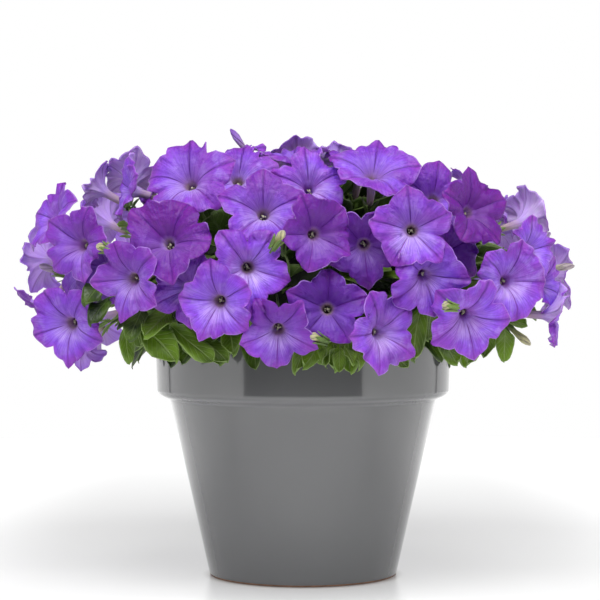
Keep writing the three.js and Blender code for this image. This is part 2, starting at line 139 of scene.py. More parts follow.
def newLook(name, roughness, **settings):  # a material, with functions that add nodes to it
    material = bpy.data.materials.new(name)
    material.use_nodes = True
    tree = material.node_tree
    shader = tree.nodes["Principled BSDF"]
    shader.inputs["Roughness"].default_value = roughness
    for socket, value in settings.items():
        shader.inputs[socket.replace("_", " ")].default_value = value

    def feed(socket, value):
        if isinstance(value, bpy.types.NodeSocket):
            tree.links.new(value, socket)
        elif value is not None:
            socket.default_value = value

    def add(kind, *inputs, **settings):
        node = tree.nodes.new("ShaderNode" + kind)
        for key, value in settings.items():
            setattr(node, key, value)
        for socket, value in zip(node.inputs, inputs):
            feed(socket, value)
        return node

    def maths(operation, a, b=None):
        return add("Math", a, b, operation=operation).outputs[0]

    def times(value, *others):
        for other in others:
            value = maths("MULTIPLY", value, other)
        return value

    def vertexValue(name):
        return add("Attribute", attribute_name=name).outputs["Fac"]

    def mapAxes(name):
        return add("SeparateXYZ", add("UVMap", uv_map=name).outputs[0]).outputs[:2]

    def between(value, low, high, start=0.0, end=1.0):  # a soft step
        return add("MapRange", value, low, high, start, end, interpolation_type="SMOOTHSTEP").outputs[0]

    def mixed(factor, a, b):
        node = add("Mix", data_type="RGBA")
        for index, value in ((0, factor), (6, a), (7, b)):
            feed(node.inputs[index], value)
        return node.outputs[2]

    def ramp(value, *stops):
        node = add("ValToRGB", value)
        while len(node.color_ramp.elements) < len(stops):
            node.color_ramp.elements.new(0.5)
        for element, (place, colour) in zip(node.color_ramp.elements, stops):
            element.position = place
            element.color = (*colour, 1)
        return node.outputs[0]

    def noise(scale, detail=2.0, vector=None):
        node = add("TexNoise", noise_dimensions="3D")
        node.inputs["Scale"].default_value = scale
        node.inputs["Detail"].default_value = detail
        if vector is None:
            vector = add("TexCoord").outputs["Object"]
        tree.links.new(vector, node.inputs["Vector"])
        return node.outputs["Fac"]

    def bump(height, distance, strength):
        node = add("Bump")
        node.inputs["Strength"].default_value = strength
        node.inputs["Distance"].default_value = distance
        tree.links.new(height, node.inputs["Height"])
        tree.links.new(node.outputs[0], shader.inputs["Normal"])

    def paint(colour, socket="Base Color"):
        tree.links.new(colour, shader.inputs[socket])

    return SimpleNamespace(
        material=material, add=add, maths=maths, times=times, vertexValue=vertexValue, mapAxes=mapAxes,
        between=between, mixed=mixed, ramp=ramp, noise=noise, bump=bump, paint=paint,
    )


# a material whose colours come from one noise, and its relief from another
def plainLook(name, roughness, grain, stops, relief=None, **settings):
    look = newLook(name, roughness, **settings)
    look.paint(look.ramp(look.noise(*grain), *stops))
    if relief:
        scale, detail, distance, strength = relief
        look.bump(look.noise(scale, detail), distance, strength)
    return look


def colour(r, g, b):
    return (r, g, b, 1)


# The pot: a tapered wall, a low collar and a tall straight rim, all one turned shape

pot = {
    "foot": 77.5,
    "neck": (107.65, 138.6),  # radius and height where the wall ends
    "collar": [(108.1, 140.2), (108.6, 142), (108.9, 143.1)],
    "turn": [  # from the collar out and up to the rim's straight face
        (109.7, 144.2), (111.4, 145.1), (113.2, 145.9), (114.9, 146.6), (116.4, 147.4), (117.9, 148.6),
        (118.9, 149.6), (119.45, 150.6), (119.58, 151.6),
    ],
    "band": 153,  # where the rim's straight face begins
    "rim": 121.1,
    "rimLean": 0.036,
    "height": 200,
    "floor": 10,
    "innerFoot": 69,
    "innerRim": 110,
    "steps": 144,
    "glaze": (0.097, 0.098, 0.103),
    "paintedLightGlaze": (0.36, 0.36, 0.37),  # painted light: the glaze is painted paler on the turn under the rim, to lighten its shaded underside
    "paintedLightShare": 0.34,
    "paintedLightRise": (142.8, 144.8),  # between these heights the painted light begins, and between the next it ends
    "paintedLightEnd": (150, 147.2),
}


def glazeLook():
    look = newLook("greyGlaze", 0.12, IOR=1.8, Coat_Weight=0.4, Coat_Roughness=0.05)
    cloud, speck = look.noise(9, 3), look.noise(900, 1)
    low, high = ([channel * share for channel in pot["glaze"]] for share in (0.95, 1.06))
    body = look.ramp(cloud, (0.3, low), (0.7, high))
    specked = look.mixed(look.between(speck, 0.66, 0.74, 0, 0.05), body, colour(0.2, 0.2, 0.2))
    height = look.add("SeparateXYZ", look.add("TexCoord").outputs["Object"]).outputs["Z"]
    # painted light: the glaze is painted paler on the turn under the rim
    begun, ended = (look.between(height, *(z * mm for z in pot[key])) for key in ("paintedLightRise", "paintedLightEnd"))
    look.paint(look.mixed(look.times(begun, ended, pot["paintedLightShare"]), specked, colour(*pot["paintedLightGlaze"])))
    look.bump(look.noise(55, 2), 0.0003, 0.08)
    return look


def buildPot():
    p = pot
    slope = (p["neck"][0] - p["foot"]) / (p["neck"][1] - 4)
    wall = [(p["foot"] + slope * (z - 4), z) for z in (1.4, 3, 9, 40, 71, 100, 127, 134, p["neck"][1])]
    band = [
        (p["rim"] + p["rimLean"] * (z - p["height"] + 6), z) for z in (p["band"], 155, 174, 189, 192.5, 194)
    ]
    outline = [
        (0, 1.2), (p["foot"] - 9, 1.2), (p["foot"] - 8, 0), (p["foot"] - 4.5, 0), (p["foot"] - 1.8, 0),
        (p["foot"] - 1, 0.3), *wall, *p["collar"], *p["turn"], *band,
        (p["rim"] - 0.5, p["height"] - 2.6), (p["rim"] - 2.4, p["height"] - 0.5),
        (p["rim"] - 4.5, p["height"]), (p["innerRim"] + 2.6, p["height"] - 0.6),
        (p["innerRim"] + 0.6, p["height"] - 2.4), (p["innerRim"], p["height"] - 5),
        (p["innerFoot"], p["floor"]), (0, p["floor"]),
    ]
    bm = turnedShape(outline, p["steps"])
    for face in bm.faces:  # the foot is bare
        face.material_index = 1 if face.calc_center_median().z < 1.3 * mm else 0
    clay = ((0.3, (0.17, 0.085, 0.05)), (0.7, (0.30, 0.16, 0.10)))
    bare = plainLook("bareFoot", 0.85, (160, 4), clay, (900, 2, 0.0004, 0.4))
    piece = toPiece(bm, "glazedPot", [glazeLook(), bare], ["pot"])
    smoothing = piece.modifiers.new("soften", "SUBSURF")
    smoothing.levels = smoothing.render_levels = 1


buildPot()
print("pot turned")


# The soil: a low crown of dark compost, a little below the rim

soil = {"top": 184, "crown": 4, "gap": 0.6, "rings": 22, "steps": 96, "lumps": 2.2, "grit": 1.6}


def insideRadius(z):
    share = (z - pot["floor"]) / (pot["height"] - 4 - pot["floor"])
    return pot["innerFoot"] + (pot["innerRim"] - pot["innerFoot"]) * share


def buildSoil():
    edge = insideRadius(soil["top"]) - soil["gap"]
    bottom = pot["floor"] + 0.4
    outline = [(0, bottom), (insideRadius(bottom) - soil["gap"], bottom), (edge, soil["top"] - 1)]
    for i in range(soil["rings"]):
        share = 1 - i / (soil["rings"] - 1)
        outline.append((edge * share, soil["top"] + soil["crown"] * (1 - share * share)))
    bm = turnedShape(outline, soil["steps"])
    for vert in bm.verts:
        x, y, z = (c / mm for c in vert.co)
        if z > soil["top"] - 2 and hypot(x, y) < edge - 1:
            wave = sin(x * 0.31 + 1.3 * sin(y * 0.23))
            wave += sin(y * 0.47 + 1.7 * sin(x * 0.19))
            vert.co.z += (soil["lumps"] / 2 * wave + soil["grit"] * (draw(x * 0.7, y * 0.9) - 0.5)) * mm
    crumbs = ((0.35, (0.012, 0.008, 0.005)), (0.55, (0.040, 0.025, 0.016)), (0.75, (0.11, 0.08, 0.055)))
    compost = plainLook("compost", 0.95, (420, 4), crumbs, (420, 4, 0.002, 0.9))
    toPiece(bm, "compostCrown", [compost], ["soil"])


buildSoil()
print("soil filled")


# The blooms: each one a five-lobed trumpet, set where the frame has it

bloomForm = {
    "lobes": 5,
    "tube": 24,
    "tubeRadius": 2.9,
    "throat": 4.6,
    "rise": 10.5,  # how far the limb's edge stands in front of the throat
    "flare": 9,
    "notch": 0.04,
    "taper": (0.12, 0.22),  # how much narrower a lobe is at its sides, at least and at most
    "puff": 2.4,
    "flutter": 2.8,
    "tipCurl": 2.6,
    "ruffle": 1.9,
    "frill": 0.03,
    "pucker": 0.55,
    "lobeBend": 5.0,
    "cleft": 0.15,  # the deepest cut between two lobes
    "point": (0.0, 0.09),  # how far a lobe's tip stands out, at least and at most
    "thickness": 0.6,
    "gap": 1.3,  # between petals that lie on each other
    "nearby": 64,  # flowers closer than this can touch
    "givesWay": (4, 14),  # the most that a petal is pushed behind one of another node, or of its own
    "pushFades": (1.05, 1.6),  # between these shares of the upper flower's edge the push fades out
    "steps": 90,
    "limbRings": 15,
    "tubeRings": 8,
}

# azimuth, reach and height of the throat, the way it faces (turn, lift), spin and diameter
frontBlooms = [
    (-31, 163, 312, -15, 36, 100, 70), (-34, 91, 318, 5, 40, 80, 60), (-9, 186, 289, 0, 30, 90, 62),
    (-29, 202, 268, -12, 22, 68, 66), (-54, 206, 268, -35, 8, 76, 60), (-36, 211, 243, -32, -8, 38, 60),
    (-57, 210, 209, -28, -12, 50, 62), (-11, 210, 251, 8, -6, 56, 60), (-16, 216, 227, -14, -8, 28, 58),
    (-5, 206, 207, 0, -20, 52, 56), (-84, 198, 288, -62, 28, 30, 60), (-73, 140, 312, -75, 15, 20, 56),
    (-27, 184, 236, -15, -5, 60, 54), (-56, 182, 250, -30, -10, 10, 56), (2, 131, 310, 5, 30, 23, 58),
    (21, 146, 317, 8, 56, 4, 68), (2, 203, 275, 18, 4, 40, 54), (14, 184, 268, 0, -8, 60, 58),
    (23, 202, 278, 2, 4, 24, 60), (39, 157, 302, 5, 28, 7, 60), (40, 191, 292, 38, 16, 15, 60),
    (37, 176, 262, 30, -10, 40, 54), (25, 207, 246, 22, -16, 0, 60), (45, 213, 241, 28, 0, 71, 60),
    (34, 212, 217, 18, -24, 70, 64), (5, 201, 221, 0, 6, 15, 56), (15, 205, 204, 36, 0, 40, 60),
    (68, 206, 214, 80, -2, 20, 54), (70, 197, 238, 62, 8, 45, 54), (59, 199, 263, 50, 12, 10, 52),
    (-94, 165, 314, -95, 30, 60, 50), (-79, 209, 222, -70, -46, 30, 50), (-98, 214, 258, -115, -5, 10, 58),
    (-71, 182, 250, -75, 5, 20, 54), (-62, 62, 332, -50, 60, 40, 54), (-170, 30, 334, 175, 52, 20, 58),
    (150, 42, 332, 160, 48, 50, 56), (62, 142, 304, 104, 26, 0, 52), (89, 178, 288, 118, 15, 30, 60),
    (-98, 143, 322, 175, 50, 30, 60), (-74, 182, 194, -120, -30, 0, 46),
]
# the rows that go on round the back: height, reach, lift, number, first and last azimuth
backRows = [
    (211, 201, -8, 5, 134, 240), (250, 210, 4, 5, 104, 226), (288, 194, 16, 5, 119, 241),
    (302, 156, 32, 4, 106, 222), (320, 80, 56, 2, 96, 206),
]
# the blooms on the very top, with the same values as the front's
crownBlooms = [
    (-9, 49, 332, -5, 80, 20, 58), (49, 60, 328, 40, 76, 44, 60), (-79, 107, 312, -79, 60, 10, 58),
    (-109, 68, 322, -109, 66, 52, 58), (128, 70, 326, 130, 62, 30, 60),
]
bloomKeys = ("azimuth", "reach", "height", "turn", "lift", "spin", "diameter")


def allBlooms():
    blooms = [dict(zip(bloomKeys, values)) for values in frontBlooms]
    for row, (height, reach, lift, number, first, last) in enumerate(backRows):
        for i in range(number):
            seed = 100 * (row + 1) + i
            azimuth = vary(first + (last - first) * i / (number - 1), 5, seed, 1)
            blooms.append({
                "azimuth": azimuth,
                "reach": vary(reach, 6, seed, 2),
                "height": vary(height, 12, seed, 3),
                "turn": vary(azimuth, 16, seed, 4),
                "lift": vary(lift, 14, seed, 5),
                "spin": 72 * draw(seed, 6),
                "diameter": 62 + 8 * draw(seed, 7),
            })
    blooms += [dict(zip(bloomKeys, values)) for values in crownBlooms]
    for i, bloom in enumerate(blooms):
        bloom["id"] = i + 1
    return blooms


def flowerFrame(flower):  # the throat at the origin, the face along +Z
    ahead = facing(flower["turn"], flower["lift"])
    side = sideOf(ahead)
    stand = basis(side, ahead.cross(side), ahead, polar(flower["azimuth"], flower["reach"], flower["height"]))
    return stand @ Matrix.Rotation(radians(flower["spin"]), 4, "Z")


def lobeReach(bloom, angle):  # the limb's edge at this angle
    step = 2 * pi / bloomForm["lobes"]
    lobe = floor(angle / step + 0.5)
    off = (angle - lobe * step) / (step / 2)
    fromRib = abs(off)
    size = [0.98 + 0.1 * draw(bloom["id"], 10 + (lobe + k) % bloomForm["lobes"]) for k in (0, 1, -1)]
    beside = size[1] if off > 0 else size[2]
    full = size[0] + (beside - size[0]) * 0.5 * fromRib ** 4
    taper = pick(bloomForm["taper"], bloom["id"], 41)
    share = 1 - taper * fromRib - bloomForm["notch"] * fromRib ** 6
    between = (lobe if off > 0 else lobe - 1) % bloomForm["lobes"]  # the cleft on this side of the lobe
    share -= bloomForm["cleft"] * draw(bloom["id"], 90 + between) ** 2 * smooth(fromRib, 0.72, 1)
    point = pick(bloomForm["point"], bloom["id"], 42 + lobe % bloomForm["lobes"])
    share += point * max(0, 1 - fromRib / 0.45) ** 1.7
    return bloom["diameter"] / 2 * full * share, fromRib


def lobeBend(bloom, angle):  # how far forward this part of the edge stands, smoothly round the bloom
    step = pi / bloomForm["lobes"]
    place = angle / step
    first = floor(place)
    blend = smooth(place - first, 0, 1)
    bends = [2 * draw(bloom["id"], 100 + (first + k) % (2 * bloomForm["lobes"])) - 1 for k in (0, 1)]
    return bloomForm["lobeBend"] * (bends[0] + (bends[1] - bends[0]) * blend)


def bloomPoint(bloom, angle, share):  # share: -1 at the tube's foot, 0 in the throat, 1 at the edge
    f = bloomForm
    edge, fromRib = lobeReach(bloom, angle)
    if share < 0:
        depth = -share * f["tube"]
        radius = f["tubeRadius"] + (f["throat"] - f["tubeRadius"]) * exp(-depth / 2.2)
        radius -= 0.7 * smooth(depth, 8, 22)
        radius *= sqrt(max(0, 1 - (max(0, depth - 21) / 3) ** 2))
        return Vector((radius * cos(angle), radius * sin(angle), -depth))
    phase = 2 * pi * draw(bloom["id"], 2)
    swell = 0.6 + 0.5 * sin(3 * angle + phase * 6)
    frill = sin(11 * angle + phase * 3) + 0.8 * sin(19 * angle + phase * 5)
    edge *= 1 + f["frill"] * frill * swell
    radius = f["throat"] + (edge - f["throat"]) * share
    rise = f["rise"] * (1 - exp(-(radius - f["throat"]) / f["flare"]))
    puff = f["puff"] * sin(pi * share ** 0.8)
    puff *= smooth(fromRib, -0.15, 0.6)
    puff *= 1 - 0.5 * smooth(fromRib, 0.5, 1)
    wave = sin(2 * angle + phase) + 0.7 * sin(3 * angle + phase * 2.3)
    curl = f["tipCurl"] * (1 - fromRib) ** 2 * share ** 4
    ruffle = (sin(12 * angle + phase * 4) + 0.8 * sin(17 * angle + phase * 7)) * swell
    height = rise + puff + f["flutter"] * share ** 3 * wave / 2 - curl
    height += f["ruffle"] * share ** 4 * ruffle + lobeBend(bloom, angle) * share ** 2.5
    crease = sin(radius * 0.5 + 3 * sin(4 * angle + phase))
    height += f["pucker"] * share * crease * sin(9 * angle + phase * 2)
    return Vector((radius * cos(angle), radius * sin(angle), height))


def trumpetPattern():  # a plain tube whose height is the share, turned from one row of points
    f = bloomForm
    shares = [-1 + i / f["tubeRings"] for i in range(f["tubeRings"])]
    shares += [(i / f["limbRings"]) ** 1.15 for i in range(f["limbRings"] + 1)]
    bm = bmesh.new()
    turnRow(bm, [bm.verts.new((1 if share > -1 else 0, 0, share)) for share in shares], f["steps"])
    closeUp(bm, 1e-5)
    bm.faces.ensure_lookup_table()
    probe = max(bm.faces, key=lambda face: face.calc_center_median().z)
    centre = probe.calc_center_median()
    if probe.normal.x * centre.x + probe.normal.y * centre.y > 0:  # the inside becomes the bloom's face
        bmesh.ops.reverse_faces(bm, faces=bm.faces)
    lobeMap = bm.loops.layers.uv.new("lobe")
    step = 2 * pi / f["lobes"]
    for face in bm.faces:
        for loop in face.loops:
            angle = atan2(loop.vert.co.y, loop.vert.co.x)
            fromRib = abs(angle / step - floor(angle / step + 0.5)) * 2
            loop[lobeMap].uv = (fromRib, (loop.vert.co.z + 1) / 2)
    return toMesh(bm, "trumpetPattern")


petalGlow = {"Subsurface_Radius": (1.0, 0.7, 1.0), "Subsurface_Scale": 0.002}  # the light that passes through


def petalFace():
    look = newLook("petalFace", 0.52, Specular_IOR_Level=0.4, Subsurface_Weight=0.35, **petalGlow)
    fromRib, share = look.mapAxes("lobe")
    tone = look.vertexValue("tone")
    low = look.vertexValue("low")
    body = look.ramp(
        share,
        (0.0, (0.10, 0.08, 0.04)), (0.40, (0.26, 0.19, 0.15)), (0.475, (0.31, 0.22, 0.25)),
        (0.50, (0.30, 0.18, 0.31)), (0.535, (0.31, 0.145, 0.54)), (0.60, (0.32, 0.130, 0.80)),
        (0.75, (0.295, 0.098, 0.86)), (0.92, (0.295, 0.074, 0.79)), (1.0, (0.36, 0.085, 0.70)),
    )
    # broad soft patches, redder here and paler there
    redder = look.between(look.noise(36, 2), 0.44, 0.62, 0, 0.7)
    paler = look.between(look.noise(110, 3), 0.48, 0.70, 0, 0.55)
    blush = look.mixed(redder, body, colour(0.27, 0.040, 0.48))
    mottled = look.mixed(paler, blush, colour(0.46, 0.29, 0.90))
    opened = look.between(share, 0.49, 0.56)
    warm = look.vertexValue("warm")
    deepest = look.mixed(warm, colour(0.085, 0.004, 0.27), colour(0.155, 0.002, 0.26))
    deeper = look.mixed(look.times(tone, opened, 0.95), mottled, deepest)
    tip = look.times(look.between(share, 0.76, 1.0, 0, 0.6), look.between(fromRib, 0.0, 0.5, 1, 0.1))
    tipped = look.mixed(tip, deeper, colour(0.29, 0.030, 0.43))
    # fine veins that fan out from the throat
    fan = look.add("CombineXYZ", look.times(fromRib, 13), look.times(share, 4), look.times(tone, 40))
    streak = look.noise(1.0, 2, fan.outputs[0])
    veined = look.mixed(look.between(streak, 0.42, 0.66, 0.0, 0.36), tipped, colour(0.105, 0.022, 0.36))
    # the pale glow round the throat: partly the flower's own paler throat, and painted light strongest on the
    # lower lobes, which face the light above
    rise = look.times(look.between(share, 0.49, 0.54), look.between(share, 0.55, 0.88, 1, 0))
    calm = look.maths("SUBTRACT", 1.0, look.times(tone, 0.55))
    glow = look.times(rise, calm, look.times(low, 0.95), look.between(streak, 0.3, 0.62, 1.0, 0.35))
    lit = look.mixed(glow, veined, colour(0.68, 0.54, 0.94))
    # the midrib of each lobe, redder on the lower lobes; on the upper ones painted shade makes it dark
    rib = look.times(look.between(fromRib, 0.0, 0.105, 1, 0), look.between(share, 0.50, 0.58))
    line = look.mixed(look.between(low, 0.2, 0.7), colour(0.085, 0.005, 0.23), colour(0.20, 0.022, 0.38))
    ribbed = look.mixed(look.times(rib, look.between(share, 0.58, 1.0, 0.85, 0.6)), lit, line)
    # painted highlight: a pale line along parts of the edge, where light catches the rolled margin
    turned = look.times(look.between(share, 0.98, 0.995, 0, 0.5), look.between(look.noise(50, 1), 0.45, 0.6))
    paintedEdgeHighlight = look.mixed(turned, ribbed, colour(0.52, 0.32, 0.86))
    look.paint(paintedEdgeHighlight)
    pucker = look.times(look.noise(230, 3), 2.0, look.between(share, 0.53, 0.8))
    swell = look.maths("ADD", look.maths("SUBTRACT", look.times(streak, 0.4), look.times(rib, 0.6)), pucker)
    look.bump(swell, 0.0015, 0.7)
    return look


def petalBack():
    look = newLook("petalBack", 0.6, Specular_IOR_Level=0.3, Subsurface_Weight=0.7, **petalGlow)
    fromRib, share = look.mapAxes("lobe")
    body = look.ramp(
        share,
        (0.0, (0.24, 0.24, 0.09)), (0.14, (0.36, 0.27, 0.22)), (0.40, (0.46, 0.33, 0.50)),
        (0.54, (0.52, 0.37, 0.90)), (0.75, (0.58, 0.43, 0.97)), (1.0, (0.46, 0.28, 0.94)),
    )
    tone = look.vertexValue("tone")
    paleness = look.times(look.between(tone, 0, 0.5, 0.75, 0), look.between(share, 0.45, 0.6))
    pale = look.mixed(paleness, body, colour(0.70, 0.58, 1.0))
    fan = look.add("CombineXYZ", look.times(fromRib, 18), look.times(share, 3))
    streak = look.noise(1.0, 2, fan.outputs[0])
    veined = look.mixed(look.between(streak, 0.45, 0.65, 0.0, 0.4), pale, colour(0.38, 0.20, 0.74))
    rib = look.between(fromRib, 0.02, 0.10, 1, 0)
    look.paint(look.mixed(look.times(rib, 0.5), veined, colour(0.22, 0.07, 0.42)))
    look.bump(rib, 0.0006, 0.4)
    return look


# how deep each flower's violet is, where the photograph tells: mostly from 0, pale, to 1. It is partly the
# flower's own colour and partly painted shade, deepest on the blooms that lie in shadow
bloomToneAndShade = dict(enumerate((
    0.25, 0.0, 0.45, 1.0, 0.6, 0.45, 0.25, 0.0, 0.15, 0.6, 0.2, 0.1, 0.6, 0.95, -0.25, 0.25, 1.0, 1.0, 0.25,
    0.45, 1.2, 1.2, 0.4, 0.0, -0.1, 0.95, 0.35, 0.1, 0.0, -0.1, 0.2, 1.0, 0.9, 1.0, 0.15, 0.3, 0.3, 0.3, 0, 0,
), 1))
# painted light and shade: the upper lobes, turned from the light above, are painted deeper, lobes bent
# forward paler and those bent back deeper; all shifts every bloom alike
toneShifts = {"paintedShadeUpperLobes": 0.34, "paintedLightBentForward": -0.15, "all": -0.07}
# how red its deep parts are
bloomWarmth = {3: 0.6, 4: 0.7, 6: 0.5, 12: 0.7, 17: 0.5, 18: 0.3, 20: 0.9, 21: 0.75, 22: 0.3, 26: 0.1}
# how strongly the pale glow round the throat shows on the lower lobes: partly the flower's own paler throat,
# partly painted light
bloomGlows = {
    1: 0.8, 2: 0.7, 3: 1.0, 4: 0.4, 5: 0.5, 6: 0.7, 7: 0.6, 8: 1.0, 9: 0.7, 10: 0.9, 15: 0.9, 16: 0.6,
    17: 0.6, 18: 0.5, 19: 0.9, 20: 0.1, 21: 0.3, 22: 0.1, 23: 0.5, 24: 0.8, 25: 0.6, 26: 0.3, 27: 0.9,
}
# which bloom lies under which where their petals meet; elsewhere the lower number lies on top
liesUnder = {(4, 6), (8, 9), (26, 10), (23, 19), (27, 23), (20, 21), (14, 5), (27, 19), (25, 24), (1, 4)}


def isUnder(bloom, other):
    if (bloom["id"], other["id"]) in liesUnder:
        return True
    return (other["id"], bloom["id"]) not in liesUnder and other["id"] < bloom["id"]


def giveWay(point, upper, crossing):  # a point of a petal under `upper` is pushed behind it
    spot = upper["inverse"] @ point
    reach = hypot(spot.x, spot.y)
    if reach < bloomForm["throat"]:
        return point
    angle = atan2(spot.y, spot.x) % (2 * pi)
    edge = bloomPoint(upper, angle, 1).xy.length
    share = (reach - bloomForm["throat"]) / (edge - bloomForm["throat"])
    if share > bloomForm["pushFades"][1]:
        return point
    over = spot.z - bloomPoint(upper, angle, min(share, 1)).z + bloomForm["gap"]
    if over <= 0 or over > bloomForm["givesWay"][int(crossing)]:
        return point
    spot.z -= over * (1 - smooth(share, *bloomForm["pushFades"]))
    return upper["place"] @ spot


def openBloom(bm, pattern, bloom, near, ownNode):  # one flower, behind the petals that lie on it
    place = bloom["place"]
    turn = place.to_3x3()
    toneLayer, lowLayer, warmLayer = (bm.verts.layers.float[name] for name in ("tone", "low", "warm"))
    done = len(bm.verts)
    bm.from_mesh(pattern)
    bm.verts.ensure_lookup_table()
    tone = bloomToneAndShade.get(bloom["id"], 0.15 + 0.6 * draw(bloom["id"], 31)) + toneShifts["all"]
    warmth = bloomWarmth.get(bloom["id"], 0.6 * draw(bloom["id"], 33))
    shine = bloomGlows.get(bloom["id"], 0.4 + 0.5 * draw(bloom["id"], 32))
    for vert in bm.verts[done:]:
        angle = atan2(vert.co.y, vert.co.x) % (2 * pi)
        up = (turn @ Vector((cos(angle), sin(angle), 0))).z
        # painted shade: deeper on the upper lobes and on lobes bent back, paler on lobes bent forward
        bent = toneShifts["paintedLightBentForward"] * lobeBend(bloom, angle) / bloomForm["lobeBend"]
        vert[toneLayer] = max(0, tone + bent + toneShifts["paintedShadeUpperLobes"] * smooth(up, -0.1, 0.9))
        # painted light: the lower lobes, which face the light above, get the most of the throat's pale glow
        vert[lowLayer] = (0.25 + 0.75 * smooth(-up, -0.35, 0.9)) * shine
        vert[warmLayer] = warmth
        point = place @ bloomPoint(bloom, angle, vert.co.z)
        if vert.co.z > 0.2:
            for other in near:
                point = giveWay(point, other, other["id"] in ownNode)
        vert.co = point * mm


def growBlooms():
    pattern = trumpetPattern()
    looks = [petalFace(), petalBack()]
    blooms = {bloom["id"]: bloom for bloom in allBlooms()}
    for bloom in blooms.values():
        bloom["place"] = flowerFrame(bloom)
        bloom["inverse"] = bloom["place"].inverted()
    for node in sorted(n for n in cadNodes if n.startswith("bloom_")):
        bm = bmesh.new()
        for name in ("tone", "low", "warm"):
            bm.verts.layers.float.new(name)
        numbers = [int(number) for number in node.split("_")[1:]]
        for bloom in (blooms[number] for number in numbers):
            near = [
                other for other in blooms.values() if other is not bloom and isUnder(bloom, other)
                and (other["place"].translation - bloom["place"].translation).length < bloomForm["nearby"]
            ]
            openBloom(bm, pattern, bloom, near, numbers)
        piece = toPiece(bm, "petals" + node[5:], looks, [node])
        thicken(piece, bloomForm["thickness"])
        petalMeshes.append(piece.data)
    return blooms


petalMeshes = []
blooms = growBlooms()
print("blooms opened:", len(blooms))


# The hearts of the blooms: a cream stigma with small anthers round it

heart = {"stigma": 1.15, "anther": 0.75, "depth": 3.6, "ring": 1.7, "anthers": 4}


def growHearts():
    bm = bmesh.new()
    for bloom in blooms.values():
        spots = [(0.3, 0, -heart["depth"] + 1.2, heart["stigma"])]
        for i in range(heart["anthers"]):
            angle = 2 * pi * (i + 0.6 * draw(bloom["id"], 50 + i)) / heart["anthers"]
            depth = heart["depth"] * (0.8 + 0.6 * draw(bloom["id"], 60 + i))
            ring = heart["ring"]
            spots.append((ring * cos(angle), ring * sin(angle), -depth, heart["anther"]))
        for x, y, z, size in spots:
            spot = (bloom["place"] @ Vector((x, y, z))) * mm
            bmesh.ops.create_uvsphere(
                bm, u_segments=6, v_segments=4, radius=size * mm, matrix=Matrix.Translation(spot),
            )
    cream = plainLook("anther", 0.7, (1500, 1), ((0.35, (0.24, 0.24, 0.13)), (0.65, (0.62, 0.60, 0.46))))
    toPiece(bm, "bloomHearts", [cream])


growHearts()
print("stigmas and anthers set")


# The green parts: thicket, stems, flower stalks, calyxes, buds and leaves

thicket = {
    "rows": [(0, 197), (98, 197), (121, 208), (138, 226), (137, 246), (124, 266), (99, 281), (58, 289)],
    "lump": 5,
    "lumpFrom": 205,
    "shrink": 0.90,
    "top": [(30, 302), (0, 304)],
    "steps": 120,
}
stem = {"radius": 3, "ring": 34, "foot": 165, "top": 225, "middleTop": 304, "sectors": 6}
stalk = {
    "radius": 1.05,
    "straight": 14,  # the part behind the flower
    "bends": (0, 9, -9, 18, -18),
    "aside": 18,  # the most it ends to one side of its stem, in degrees
    "ends": (100, (246, 260, 234, 222)),  # reach and the heights that are tried
    "middleFrom": 75,  # flowers with less reach than this grow from the middle stem
    "middleEnds": (16, 303),
    "rimLeafRadius": 0.9,
    "rimLeafEnd": (118, 212),
}
calyx = {"below": 0.4, "depth": 9, "radius": 3.2, "sepal": 11, "sepalWidth": 3.6}
leafForm = {
    "thickness": 0.55,
    "sunk": 6,
    "fold": 0.26,
    "match": 0.9,  # how far its tip may be from the frame's, in mm
    "shorter": (0.68, 0.88),  # the lowest row and the rest, against the frame's
    "shadedTones": (0.7, 0.45),  # painted shade: the share of its tone that a large leaf keeps, and a small inner one, darker inside the bush
}
leafRows = [  # reach and height of the root, lift, length, arch, turns from the middle of the sector
    (126, 213, -18, 54, 0.4, (-23, -8, 7, 22)),
    (138, 231, 2, 60, 0.28, (-15, 1, 17)),
    (134, 250, 18, 56, 0.2, (-22, -6, 9)),
    (118, 270, 34, 50, 0.15, (-15, 2, 19)),
    (88, 279, 50, 44, 0.1, (-17, 12)),
    (50, 284, 66, 42, 0.1, (-6,)),
]
crownRow = (36, 303, 40, 46, 0.15, (-150, -100, -52, -8, 28, 66, 118))
buds = [  # azimuth, reach and height of the foot, the way it points (turn, lift), length
    (-100, 42, 340, -82, 54, 32), (79, 196, 250, 88, 6, 26), (54, 192, 208, 62, -38, 26),
    (-5, 174, 262, -22, 58, 20), (-47, 190, 262, -66, 30, 18), (-88, 196, 246, -96, 20, 22),
    (104, 196, 270, 108, 28, 24), (182, 190, 262, 186, 30, 24), (226, 196, 222, 232, -10, 22),
]
smallBuds = [  # the same, for the young pale ones in front of the petals
    (-5.6, 221, 265, 75, 55, 15), (27.9, 235, 222, -75, 12, 11), (-39.3, 222, 263, -100, 20, 13),
    (4.4, 215, 198, -80, 22, 13),
]
budForm = {
    "rows": [  # radius, and the share of the length
        (0, -1), (1.3, 0), (1.7, 0.12), (2, 0.35), (2.7, 0.6), (3, 0.74), (2.3, 0.88), (1, 0.97), (0, 1),
    ],
    "steps": 20,
    "groove": 0.14,
    "twist": 1.2,
    "violet": (1.0, 0.35, 0.0, 0.0, 0.1, 0.6, 0.7, 0.3, 0.8, 0.0, 0.0, 0.0, 0.0),  # how far each has coloured
}


def sectorAzimuth(k):
    return 360 / stem["sectors"] * (k + 0.5) - 180


def lump(azimuth, z):
    a = radians(azimuth)
    wave = sin(5 * a + z / 9) + sin(11 * a - z / 6 + 1)
    return 0 if z < thicket["lumpFrom"] else thicket["lump"] / 2 * wave


def turnBetween(a, b):
    return (a - b + 180) % 360 - 180


def nearestSector(azimuth):
    return min(range(stem["sectors"]), key=lambda k: abs(turnBetween(azimuth, sectorAzimuth(k))))


